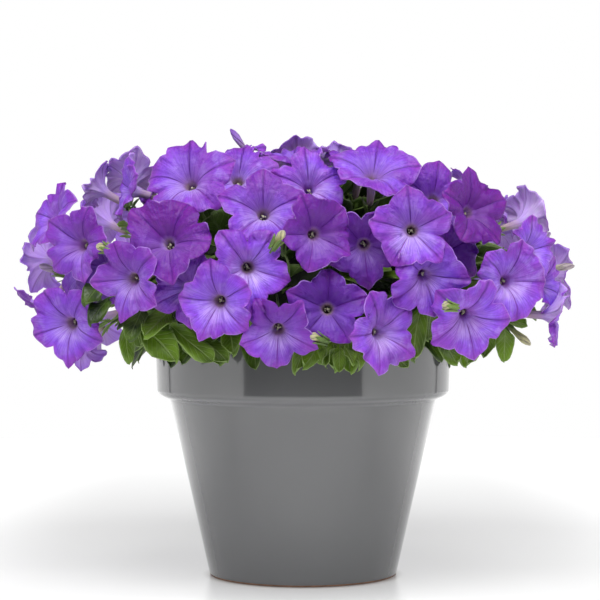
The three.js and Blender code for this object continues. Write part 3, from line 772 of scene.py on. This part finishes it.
def bladeLook(name, dark, light, vein):
    look = newLook(name, 0.42, Specular_IOR_Level=0.45)
    along, across = look.mapAxes("blade")
    tone = look.vertexValue("tone")
    shade = look.maths("ADD", look.times(look.noise(65, 2), 0.9), look.times(tone, 0.45))
    body = look.ramp(shade, (0.42, dark), (0.88, light))
    off = look.maths("ABSOLUTE", look.maths("SUBTRACT", across, 0.5))
    # side veins leave the midrib and run forward
    forward = look.maths("SUBTRACT", along, look.times(off, 0.75))
    beat = look.maths("FRACT", look.times(forward, 6.5))
    side = look.between(look.maths("ABSOLUTE", look.maths("SUBTRACT", beat, 0.5)), 0.03, 0.12, 1, 0)
    midrib = look.between(off, 0.012, 0.05, 1, 0)
    veins = look.maths("MAXIMUM", midrib, look.times(side, 0.45))
    margin = look.between(off, 0.43, 0.5, 0, 0.6)
    lines = look.maths("MAXIMUM", look.times(veins, 0.7), margin)
    shown = look.times(lines, look.between(tone, 0.1, 0.7, 0.3, 1))
    look.paint(look.mixed(shown, body, colour(*vein)))
    look.bump(look.maths("SUBTRACT", look.times(look.noise(240, 2), 0.4), veins), 0.0012, 0.6)
    return look


def budLook():
    look = newLook("furledBud", 0.6, Sheen_Weight=0.3)
    along, across = look.mapAxes("blade")
    green = look.ramp(along, (0.0, (0.20, 0.27, 0.07)), (0.5, (0.42, 0.42, 0.17)), (1, (0.56, 0.52, 0.32)))
    coloured = look.ramp(
        along, (0.0, (0.16, 0.22, 0.06)), (0.3, (0.34, 0.24, 0.34)), (0.7, (0.36, 0.19, 0.66)),
        (1, (0.22, 0.07, 0.50)),
    )
    body = look.mixed(look.vertexValue("violet"), green, coloured)
    # painted shade: darker along the spiral folds of the furled petals
    twist = look.maths("FRACT", look.times(look.maths("ADD", across, look.times(along, 0.5)), 5))
    fold = look.between(look.maths("ABSOLUTE", look.maths("SUBTRACT", twist, 0.5)), 0.3, 0.48)
    look.paint(look.mixed(look.times(fold, 0.6), body, colour(0.09, 0.04, 0.13)))
    look.bump(fold, -0.0008, 0.7)
    return look


def bladePattern(lengthSteps, widthSteps, name):  # a flat grid, its length along X from 0 to 1
    bm = bmesh.new()
    bmesh.ops.create_grid(bm, x_segments=lengthSteps, y_segments=widthSteps, size=0.5)
    bmesh.ops.translate(bm, verts=bm.verts, vec=(0.5, 0, 0))
    bladeMap = bm.loops.layers.uv.new("blade")
    for face in bm.faces:
        for loop in face.loops:
            loop[bladeMap].uv = (0.5 - 0.5 * cos(pi * loop.vert.co.x), loop.vert.co.y + 0.5)
    return toMesh(bm, name)


def crowded(share):  # rows stand closer towards both ends, so that these come out round
    return 0.5 - 0.5 * cos(pi * share)


def leafOutline(share):  # half width as a share, rounded, widest before the middle
    return max(0, sin(pi * share ** 0.88)) ** 0.46 * (1 - 0.6 * (1 - share) ** 5)


def leafPoint(leaf, share, across):  # across runs from -1 to 1
    spread = across * leafOutline(share) * leaf["width"] / 2
    drop = leaf["arch"] * share * share * leaf["length"]
    cup = leafForm["fold"] * abs(spread)
    side = leaf["phase"] + (2 if across > 0 else 0)
    wave = leaf["wave"] * sin(share * 8 + side) * across * across
    bend = 0.06 * leaf["length"] * sin(pi * share + leaf["phase"])
    return Vector((share * leaf["length"], spread + bend * share, cup - drop + wave))


def leafFrame(leaf):
    along = facing(leaf["turn"], leaf["lift"])
    side = sideOf(along)
    stand = basis(along, side, along.cross(side), leaf["root"])
    return stand @ Matrix.Rotation(radians(leaf["roll"]), 4, "X")


def leafAt(root, heading, lift, length, arch, seed):
    size = length * (0.85 + 0.3 * draw(seed, 21))
    return {
        "root": root,
        "turn": vary(heading, 30, seed, 22),
        "lift": vary(lift, 20, seed, 23),
        "roll": vary(0, 70, seed, 26),
        "length": size,
        "width": size * (0.62 + 0.1 * draw(seed, 24)),
        "arch": arch * (0.7 + 0.6 * draw(seed, 25)),
        "wave": 0.05 * size,
        "phase": 6.3 * draw(seed, 27),
        "tone": draw(seed, 28),
    }


def addBlade(bm, pattern, place, pointAt, tone):
    toneLayer = bm.verts.layers.float["tone"]
    done = len(bm.verts)
    bm.from_mesh(pattern)
    bm.verts.ensure_lookup_table()
    for vert in bm.verts[done:]:
        vert[toneLayer] = tone
        vert.co = (place @ pointAt(crowded(vert.co.x), vert.co.y * 2)) * mm


leafPattern = bladePattern(9, 6, "leafPattern")
sepalPattern = bladePattern(4, 2, "sepalPattern")


# Where the frame put each leaf: the try whose tip is in the node's own mesh
leafTries = [(lift, turn) for lift in (0, -14, 14, -28, 28, 42) for turn in (0, 22, -22, 44, -44)]


def pointsOf(node):
    verts = cadNodes[node].data.vertices
    tree = kdtree.KDTree(len(verts))
    for i, vert in enumerate(verts):
        tree.insert(vert.co / mm, i)
    tree.balance()
    return tree


def frameLeaves(k, points):
    leaves = []
    middle = k == stem["sectors"]
    azimuth = 0 if middle else sectorAzimuth(k)
    for n, (reach, height, lift, length, arch, turns) in enumerate([crownRow] if middle else leafRows):
        for i, turn in enumerate(turns):
            around = azimuth + turn
            out = reach - leafForm["sunk"] + (0 if middle else lump(around, height))
            leaf = leafAt(polar(around, out, height), around, lift, length, arch, 1000 + 100 * k + 10 * n + i)
            found = []
            for order, (up, aside) in enumerate(leafTries):
                tried = {**leaf, "lift": leaf["lift"] + up, "turn": leaf["turn"] + aside}
                tip = leafFrame(tried) @ Vector((leaf["length"], 0, -leaf["arch"] * leaf["length"]))
                found.append((points.find(tip)[2], order, tried))
            distance, _, best = min(found, key=lambda item: item[:2])
            if distance < leafForm["match"]:
                shorter = leafForm["shorter"][0 if n == 0 else 1]
                best["length"] *= shorter
                best["width"] *= min(1, shorter * 1.2)
                best["tone"] *= leafForm["shadedTones"][0]
                leaves.append(best)
    return leaves


# The clear space for the leaves that only the dressed plant has: none may cross a petal
petalPoints, petalFaces = [], []
for mesh in petalMeshes:
    start = len(petalPoints)
    petalPoints += [vert.co / mm for vert in mesh.vertices]
    petalFaces += [[start + i for i in face.vertices] for face in mesh.polygons]
petalTree = BVHTree.FromPolygons(petalPoints, petalFaces)
leafCorners = [(crowded(v.co.x), v.co.y * 2) for v in leafPattern.vertices]
leafCells = [list(face.vertices) for face in leafPattern.polygons]


def isClear(leaf):
    place = leafFrame(leaf)
    spots = [place @ leafPoint(leaf, share, across) for share, across in leafCorners]
    return not petalTree.overlap(BVHTree.FromPolygons(spots, leafCells))


# painted shade: the leaves listed under shaded are given darker tones
rimLeafForm = {"arch": 0.16, "wave": 0.11, "tones": (0.3, 1.0), "shaded": {5: 0.1, 6: 0.1}}
# leaves that hang between the blooms over the front of the rim:
# azimuth, reach and height of the root, turn, lift, roll, length, width
rimLeaves = [
    (-39, 190, 205, 57, -34, 52, 36, 25), (-34, 178, 208, 71, -37, 48, 42, 19),
    (-42, 200, 206, 33, -66, 20, 27, 12), (-34, 179, 219, -34, -28, -25, 32, 20),
    (-39, 191, 223, -16, -42, -10, 33, 17), (-50, 198, 239, -30, -27, -20, 28, 16),
    (-49, 195, 228, -24, -31, -20, 30, 15), (-15, 155, 223, 8, -44, 5, 30, 14),
    (3, 150, 199, -26, -32, -20, 38, 13), (5, 151, 199, -21, -31, -30, 34, 18),
    (8, 151, 199, 5, -33, 8, 34, 18), (12, 153, 201, 8, -37, 15, 36, 19),
    (15, 155, 197, 26, -20, 45, 32, 17), (31, 173, 225, -18, -57, -12, 46, 17),
    (35, 170, 224, -8, -45, -8, 32, 16), (48, 180, 198, -28, -35, -20, 30, 15),
    (53, 181, 202, -22, -34, -15, 28, 13), (52, 195, 205, 0, -55, 0, 27, 15),
    (55, 188, 213, 35, -7, 40, 24, 12), (-29, 158, 198, 44, -30, 42, 31, 16),
    (24, 162, 187, 47, -31, 40, 18, 10), (-22, 150, 204, 10, -30, 15, 27, 17),
    (41, 162, 200, 20, -38, 20, 30, 17), (-47, 176, 214, 12, -46, 20, 28, 16),
    (7.5, 182, 193, -60, -50, 20, 17, 10), (8.5, 184, 192, -10, -62, -10, 18, 10),
    (9.5, 183, 193, 50, -45, 10, 16, 10), (10, 182, 197, 70, 5, -20, 15, 9),
    (7, 182, 197, -75, 10, 25, 15, 9), (8.5, 182, 199, 10, 40, 0, 14, 8),
    (5.5, 180, 194, -35, -55, 30, 16, 10), (12.5, 180, 191, 30, -58, -30, 17, 10),
]

# the changes of lift, turn and size that are tried until an inner leaf is clear of the petals
fillTries = ((0, 0, 1), (0, 35, 1), (0, -35, 1), (20, 0, 0.9), (-20, 0, 0.9), (0, 0, 0.7))
fillRows = [  # reach, height, lift, length, arch, number round the plant: the small inner leaves
    (92, 200, -42, 34, 0.35, 26),
    (112, 206, -30, 36, 0.35, 34),
    (126, 218, -12, 36, 0.3, 36),
    (133, 232, 4, 34, 0.25, 36),
    (132, 246, 14, 34, 0.2, 36),
    (124, 258, 28, 34, 0.2, 34),
    (110, 270, 40, 34, 0.2, 30),
    (90, 278, 42, 34, 0.15, 24),
    (68, 284, 34, 34, 0.15, 20),
    (46, 290, 30, 34, 0.15, 15),
    (22, 298, 26, 32, 0.15, 8),
    (52, 304, 48, 34, 0.15, 16),
]


def rimLeafAt(i, values):
    leaf = dict(zip(("turn", "lift", "roll", "length", "width"), values[3:]))
    tone = rimLeafForm["shaded"].get(i, pick(rimLeafForm["tones"], i, 82))
    wave = rimLeafForm["wave"] * leaf["length"]
    return {**leaf, "arch": rimLeafForm["arch"], "wave": wave, "phase": 6.3 * draw(i, 81), "tone": tone}


def hangRimLeaves(curves):
    leaves = [[] for _ in curves]
    for i, values in enumerate(rimLeaves):
        leaf = rimLeafAt(i, values)
        azimuth, reach, height = values[:3]
        for inward in (0, 5, 10, 15, 20, 25):
            leaf["root"] = start = polar(azimuth, reach - inward, height)
            if isClear(leaf):
                break
        k = nearestSector(azimuth)
        leaves[k].append(leaf)
        ahead = facing(leaf["turn"], leaf["lift"])
        end = polar(azimuth, stalk["rimLeafEnd"][0], max(stalk["rimLeafEnd"][1], height + 6))
        addSpline(curves[k], (start, start - ahead * 10, end.lerp(start, 0.4), end), stalk["rimLeafRadius"])
    return leaves


def fillLeaves():
    leaves = [[] for _ in range(stem["sectors"] + 1)]
    for n, (reach, height, lift, length, arch, number) in enumerate(fillRows):
        for i in range(number):
            seed = 4000 + 100 * n + i
            around = 360 * (i + 0.7 * draw(seed, 1)) / number - 180
            root = polar(around, reach - 3 + lump(around, height), vary(height, 8, seed, 2))
            leaf = leafAt(root, vary(around, 50, seed, 3), lift, length, arch, seed)
            # painted shade: the small inner leaves are darker
            leaf["tone"] *= leafForm["shadedTones"][1]
            for up, aside, size in fillTries:
                tried = {**leaf, "lift": leaf["lift"] + up, "turn": leaf["turn"] + aside}
                tried["length"], tried["width"] = leaf["length"] * size, leaf["width"] * size
                if isClear(tried):
                    k = int((around + 180) // (360 / stem["sectors"])) % stem["sectors"]
                    leaves[k].append(tried)
                    break
    return leaves


# Flower stalks go straight back from the flower, then down into the thicket
def bezier(points, t):
    a, b, c, d = points
    s = 1 - t
    return a * s ** 3 + b * 3 * s * s * t + c * 3 * s * t * t + d * t ** 3


def stalkCurve(place, behind, end, bend):
    ahead = place.to_3x3() @ Vector((0, 0, 1))
    start = place.translation - ahead * behind
    side = sideOf(ahead)
    back = start - ahead * stalk["straight"] + side * bend
    return start, back, end.lerp(back, 0.4), end


def stalkTries(flower, place, behind):
    azimuth = flower["azimuth"]
    if flower["reach"] < stalk["middleFrom"]:
        k = stem["sectors"]
        ends = [polar(azimuth + more, *stalk["middleEnds"]) for more in (0, 60)]
    else:
        k = nearestSector(azimuth)
        inside = max(-stalk["aside"], min(stalk["aside"], turnBetween(azimuth, sectorAzimuth(k))))
        reach, heights = stalk["ends"]
        ends = [polar(sectorAzimuth(k) + inside, reach, height) for height in heights]
    return k, [stalkCurve(place, behind, end, bend) for end in ends for bend in stalk["bends"]]


def sameStalk(curve, points):  # how many corners of the frame's stalk stand round the middle of this curve
    spots = [bezier(curve, i / 40) for i in range(41)]
    lengths = [0]
    for a, b in zip(spots, spots[1:]):
        lengths.append(lengths[-1] + (b - a).length)
    half = next(i for i, length in enumerate(lengths) if length >= lengths[-1] / 2)
    before = lengths[half - 1]
    spot = spots[half - 1].lerp(spots[half], (lengths[-1] / 2 - before) / (lengths[half] - before))
    return sum(abs(distance - 1.3) < 0.08 for _, _, distance in points.find_range(spot, 1.5))


def chooseStalk(tries, points):
    return max(enumerate(tries), key=lambda item: (sameStalk(item[1], points), -item[0]))[1]


def addSpline(curve, points, radius, taper=0.8):
    spline = curve.splines.new("BEZIER")
    spline.bezier_points.add(1)
    first, last = spline.bezier_points
    start, back, near, end = (p * mm for p in points)
    for point, place, left, right in ((first, start, start, back), (last, end, near, end)):
        point.co, point.handle_left, point.handle_right = place, left, right
        point.handle_left_type = point.handle_right_type = "FREE"
    first.radius, last.radius = radius * taper, radius
    spline.resolution_u = 8


def sepalPoint(share, across, opening):
    width = sin(pi * min(1, share * 0.9 + 0.08)) ** 0.7
    spread = across * width * calyx["sepalWidth"] / 2
    out = calyx["radius"] * 0.8 + share * share * opening
    return Vector((out, spread, share * calyx["sepal"]))


def addCalyx(bm, place, foot, opening, tone):
    for i in range(5):
        turned = place @ Matrix.Translation((0, 0, foot)) @ Matrix.Rotation(2 * pi * i / 5, 4, "Z")
        addBlade(bm, sepalPattern, turned, partial(sepalPoint, opening=opening), tone)


def addBud(bm, place, length, violet):
    f = budForm
    bladeMap = bm.loops.layers.uv["blade"]
    violetLayer = bm.verts.layers.float["violet"]
    turnRow(bm, [bm.verts.new((r, 0, max(-1, z * length))) for r, z in f["rows"]], f["steps"])
    verts = [vert for vert in bm.verts if not vert.tag]
    angles = {vert: atan2(vert.co.y, vert.co.x) for vert in verts}
    for loop in (loop for face in bm.faces if not face.tag for loop in face.loops):
        loop[bladeMap].uv = (loop.vert.co.z / length, angles[loop.vert] / (2 * pi) + 0.5)
        loop.face.tag = True
    for vert in verts:
        share = vert.co.z / length
        groove = 1 + f["groove"] * share * cos(5 * (angles[vert] + f["twist"] * share))
        vert.co = (place @ Vector((vert.co.x * groove, vert.co.y * groove, vert.co.z))) * mm
        vert[violetLayer] = violet
        vert.tag = True


def startStalks(k, name):  # the curve that holds a stem and its flower stalks
    curve = bpy.data.curves.new(name, "CURVE")
    curve.dimensions = "3D"
    curve.bevel_depth = mm
    curve.bevel_resolution = 2
    curve.use_fill_caps = True
    middle = k == stem["sectors"]
    foot = polar(0 if middle else sectorAzimuth(k), 0 if middle else stem["ring"], stem["foot"])
    top = foot.copy()
    top.z = stem["middleTop" if middle else "top"]
    addSpline(curve, (foot, foot.lerp(top, 0.3), foot.lerp(top, 0.7), top), stem["radius"], 1)
    return curve


def growStalk(flower, place, behind, curves, points):  # says which stem it grows from
    k, tries = stalkTries(flower, place, behind)
    addSpline(curves[k], chooseStalk(tries, points[k]), stalk["radius"])
    return k


def growBuds(curves, points, leafBms):
    bm = bmesh.new()
    bm.loops.layers.uv.new("blade")
    bm.verts.layers.float.new("violet")
    for i, values in enumerate(buds + smallBuds):
        flower = dict(zip(bloomKeys, values[:5]), spin=0)
        place = flowerFrame(flower)
        k = growStalk(flower, place, -1, curves, points)
        addCalyx(leafBms[k], place, -2, 2.5, draw(i, 72))
        addBud(bm, place, values[5], budForm["violet"][i])
    closeUp(bm)
    toPiece(bm, "furledBuds", [budLook()])


def growGreens():
    leafLooks = [
        bladeLook("leafFace", (0.012, 0.034, 0.003), (0.145, 0.270, 0.012), (0.32, 0.44, 0.14)),
        bladeLook("leafBack", (0.050, 0.100, 0.018), (0.160, 0.270, 0.045), (0.34, 0.44, 0.18)),
    ]
    green = plainLook(
        "hairyStalk", 0.6, (70, 3), ((0.3, (0.075, 0.13, 0.025)), (0.7, (0.19, 0.26, 0.07))),
        (1400, 1, 0.0003, 0.4), Sheen_Weight=0.4, Sheen_Roughness=0.3,
    )
    names = [f"leafy_stem_{k + 1}" for k in range(stem["sectors"])] + ["leafy_stem_middle"]
    points = [pointsOf(name) for name in names]
    curves = [startStalks(k, "stalks_" + name[11:]) for k, name in enumerate(names)]
    leafBms = [bmesh.new() for _ in names]
    for bm in leafBms:
        bm.verts.layers.float.new("tone")
    tube = bloomForm["tube"] + calyx["below"]
    for bloom in blooms.values():
        k = growStalk(bloom, bloom["place"], tube + calyx["depth"] * 0.4, curves, points)
        opening, tone = 3 + 3 * draw(bloom["id"], 70), draw(bloom["id"], 71)
        addCalyx(leafBms[k], bloom["place"], -tube - calyx["depth"] * 0.55, opening, tone)
    growBuds(curves, points, leafBms)
    rim = hangRimLeaves(curves)
    fill = fillLeaves()
    count = 0
    for k, name in enumerate(names):
        for leaf in frameLeaves(k, points[k]) + rim[k] + fill[k]:
            addBlade(leafBms[k], leafPattern, leafFrame(leaf), partial(leafPoint, leaf), leaf["tone"])
            count += 1
        bmesh.ops.remove_doubles(leafBms[k], verts=leafBms[k].verts, dist=1e-6)
        thicken(toPiece(leafBms[k], "leaves" + name[10:], leafLooks, [name]), leafForm["thickness"])
        toPiece(curves[k], curves[k].name, [green], [name])
    print("leaves grown:", count, "of them", sum(map(len, fill)), "small inner ones")


growGreens()


def buildThicket():  # the dark heart of the bush, behind all the leaves
    t = thicket
    rows = [(r * t["shrink"], z if z < 200 else z - 4) for r, z in t["rows"]]
    bm = turnedShape(rows + t["top"], t["steps"])
    bmesh.ops.subdivide_edges(
        bm, edges=[e for e in bm.edges if e.calc_length() > 12 * mm], cuts=2, use_grid_fill=True,
    )
    for vert in bm.verts:
        x, y, z = (c / mm for c in vert.co)
        reach = hypot(x, y)
        if reach > 20 and z > 203:
            small = 3 * sin(x * 0.4) * sin(y * 0.4) * sin(z * 0.5)
            push = 1 + (lump(degrees(atan2(x, -y)), z) + small) / reach
            vert.co.x *= push
            vert.co.y *= push
    # painted shade: the heart is nearly black, the shadowed depth of the foliage
    shades = ((0.35, (0.006, 0.010, 0.004)), (0.6, (0.018, 0.030, 0.008)), (0.8, (0.045, 0.060, 0.018)))
    dark = plainLook("thicketShade", 0.9, (90, 4), shades, (90, 4, 0.006, 1.0))
    toPiece(bm, "thicketHeart", [dark], [n for n in cadNodes if n.startswith("leafy_stem_")])


buildThicket()
print("thicket filled")


# The studio: a pale floor that glows with painted light and shade, soft light from above and two tall
# softboxes beside the camera

studio = {
    "floorRadius": 1.4,
    "floorGlow": (0.17, 0.51),  # painted light: the floor's glow near the pot and far off; it is lower near the pot, which paints the pot's shadow
    "floorFade": (0.35, 1.25),  # between these distances, in metres
    "floorClose": (0.237, 0.20, 0.42),  # painted light: the glow right beside the pot, and the distances where it fades out
    "floorPaintedShadow": (0.10, 0.076, 0.084),  # painted shadow: the lower glow under the pot, and the distances where it fades out
    "floorFront": (0.4, -0.10, -0.28),  # painted light: extra glow in front of the pot, and from where to where it rises
    "floorWide": (0.38, 0.20, 0.42),  # the same, out at the sides
    "world": 1.0,
    "sky": 0.10,  # how bright the room is overhead
    "overhead": (0.0, -1.0, 1.6, 1.6, 1.1, 35),  # x, y, z, width, depth, watts
    "sideDistance": 1.2,
    "sideFrom": 44,  # degrees off the camera's line
    "sideTo": 120,
    "sideHeight": 1.0,
    "sideGlow": 0.1,
    "darkGap": (121, 124.5),  # the dark slit behind each softbox
    "flag": (1.2, 0.6),  # radius and height
}


def aim(piece, target):
    piece.rotation_mode = "QUATERNION"
    piece.rotation_quaternion = (Vector(target) - piece.location).to_track_quat("-Z", "Y")


def areaLight(name, place, target, width, height, watts):
    data = bpy.data.lights.new(name, "AREA")
    data.shape = "RECTANGLE"
    data.size, data.size_y = width, height
    data.energy = watts
    light = inScene(name, data)
    light.location = place
    aim(light, target)
    light.visible_camera = False


def layFloor():
    s = studio
    bm = bmesh.new()
    bmesh.ops.create_circle(bm, cap_ends=True, radius=s["floorRadius"], segments=96)
    bmesh.ops.translate(bm, verts=bm.verts, vec=(0, 0, -0.0004))
    sheet = inScene("floor", toMesh(bm, "floor", False))
    look = newLook("paleFloor", 0.25, Emission_Strength=1.0)
    place = look.add("TexCoord").outputs["Object"]
    distance = look.add("VectorMath", place, operation="LENGTH").outputs["Value"]
    axes = look.add("SeparateXYZ", place).outputs
    look.paint(look.ramp(look.noise(2, 2), (0.3, (0.835, 0.835, 0.83)), (0.7, (0.85, 0.85, 0.85))))
    near, far = ((value,) * 3 for value in s["floorGlow"])
    # painted light and shade: the floor glows, dimmer towards the pot and least under it, brighter in front
    # and at the sides
    glow = look.ramp(look.between(distance, *s["floorFade"]), (0, near), (1, far))
    value, *fade = s["floorClose"]
    glow = look.mixed(look.between(distance, *fade), colour(value, value, value), glow)
    value, *fade = s["floorFront"]
    front = look.between(axes["Y"], *fade, 0, value)
    value, *fade = s["floorWide"]
    wide = look.between(look.maths("ABSOLUTE", axes["X"]), *fade, 0, value)
    glow = look.mixed(look.maths("MAXIMUM", front, wide), glow, colour(1, 1, 1))
    value, *fade = s["floorPaintedShadow"]
    glow = look.mixed(look.between(distance, *fade), colour(value, value, value), glow)
    look.paint(glow, "Emission Color")
    sheet.data.materials.append(look.material)


def standFlag():  # a dark flag round the camera, which the glaze mirrors
    radius, height = studio["flag"]
    bm = bmesh.new()
    bmesh.ops.create_cone(bm, segments=180, radius1=radius, radius2=radius, depth=height)
    bmesh.ops.translate(bm, verts=bm.verts, vec=(0, 0, height / 2))
    turns = {vert: abs(degrees(atan2(vert.co.x, -vert.co.y))) for vert in bm.verts}
    low, high = studio["darkGap"]
    opened = [vert for vert, off in turns.items() if off > studio["sideFrom"] + 0.5 and not low < off < high]
    bmesh.ops.delete(bm, geom=opened, context="VERTS")
    flag = inScene("darkFlag", toMesh(bm, "darkFlag", False))
    felt = plainLook("blackFelt", 0.95, (300, 1), ((0.3, (0.01, 0.01, 0.01)), (0.7, (0.02, 0.02, 0.02))))
    flag.data.materials.append(felt.material)
    flag.visible_camera = False


def hangLights():
    s = studio
    x, y, z, width, depth, watts = s["overhead"]
    areaLight("overheadLight", (x, y, z), (0, 0, 0.2), width, depth, watts)
    reach, height = s["sideDistance"], s["sideHeight"]
    middle = radians((s["sideFrom"] + s["sideTo"]) / 2)
    width = 2 * reach * tan(radians((s["sideTo"] - s["sideFrom"]) / 2))
    for name, side in (("leftSoftbox", -1), ("rightSoftbox", 1)):
        place = (side * sin(middle) * reach, -cos(middle) * reach, height / 2)
        watts = s["sideGlow"] * pi * width * height
        areaLight(name, place, (0, 0, height / 2), width, height, watts)


def lightRoom():
    world = bpy.data.worlds.new("whiteRoom")
    world.use_nodes = True
    tree = world.node_tree
    room = tree.nodes["Background"]
    room.inputs[1].default_value = studio["world"]
    direction = tree.nodes.new("ShaderNodeTexCoord").outputs["Generated"]
    split = tree.nodes.new("ShaderNodeSeparateXYZ")
    fade = tree.nodes.new("ShaderNodeValToRGB")
    for element, place, value in zip(fade.color_ramp.elements, (0.16, 0.5), (1, studio["sky"])):
        element.position, element.color = place, colour(value, value, value)
    tree.links.new(direction, split.inputs[0])
    tree.links.new(split.outputs[2], fade.inputs[0])
    tree.links.new(fade.outputs[0], room.inputs[0])
    bpy.context.scene.world = world


layFloor()
hangLights()
standFlag()
lightRoom()


# The camera: as far off and as long a lens as the photograph's own view
view = {"distance": 1.65, "height": 0.247, "lens": 120.42, "tilt": 0.77, "turn": 0.086}
lens = bpy.data.cameras.new("camera")
lens.lens = view["lens"]
lens.sensor_width = 36
lens.clip_end = 50
camera = inScene("camera", lens)
camera.location = (0, -view["distance"], view["height"])
camera.rotation_euler = (radians(90 - view["tilt"]), 0, radians(view["turn"]))
bpy.context.scene.camera = camera
bpy.context.scene.view_settings.view_transform = "Standard"
print("studio lit")
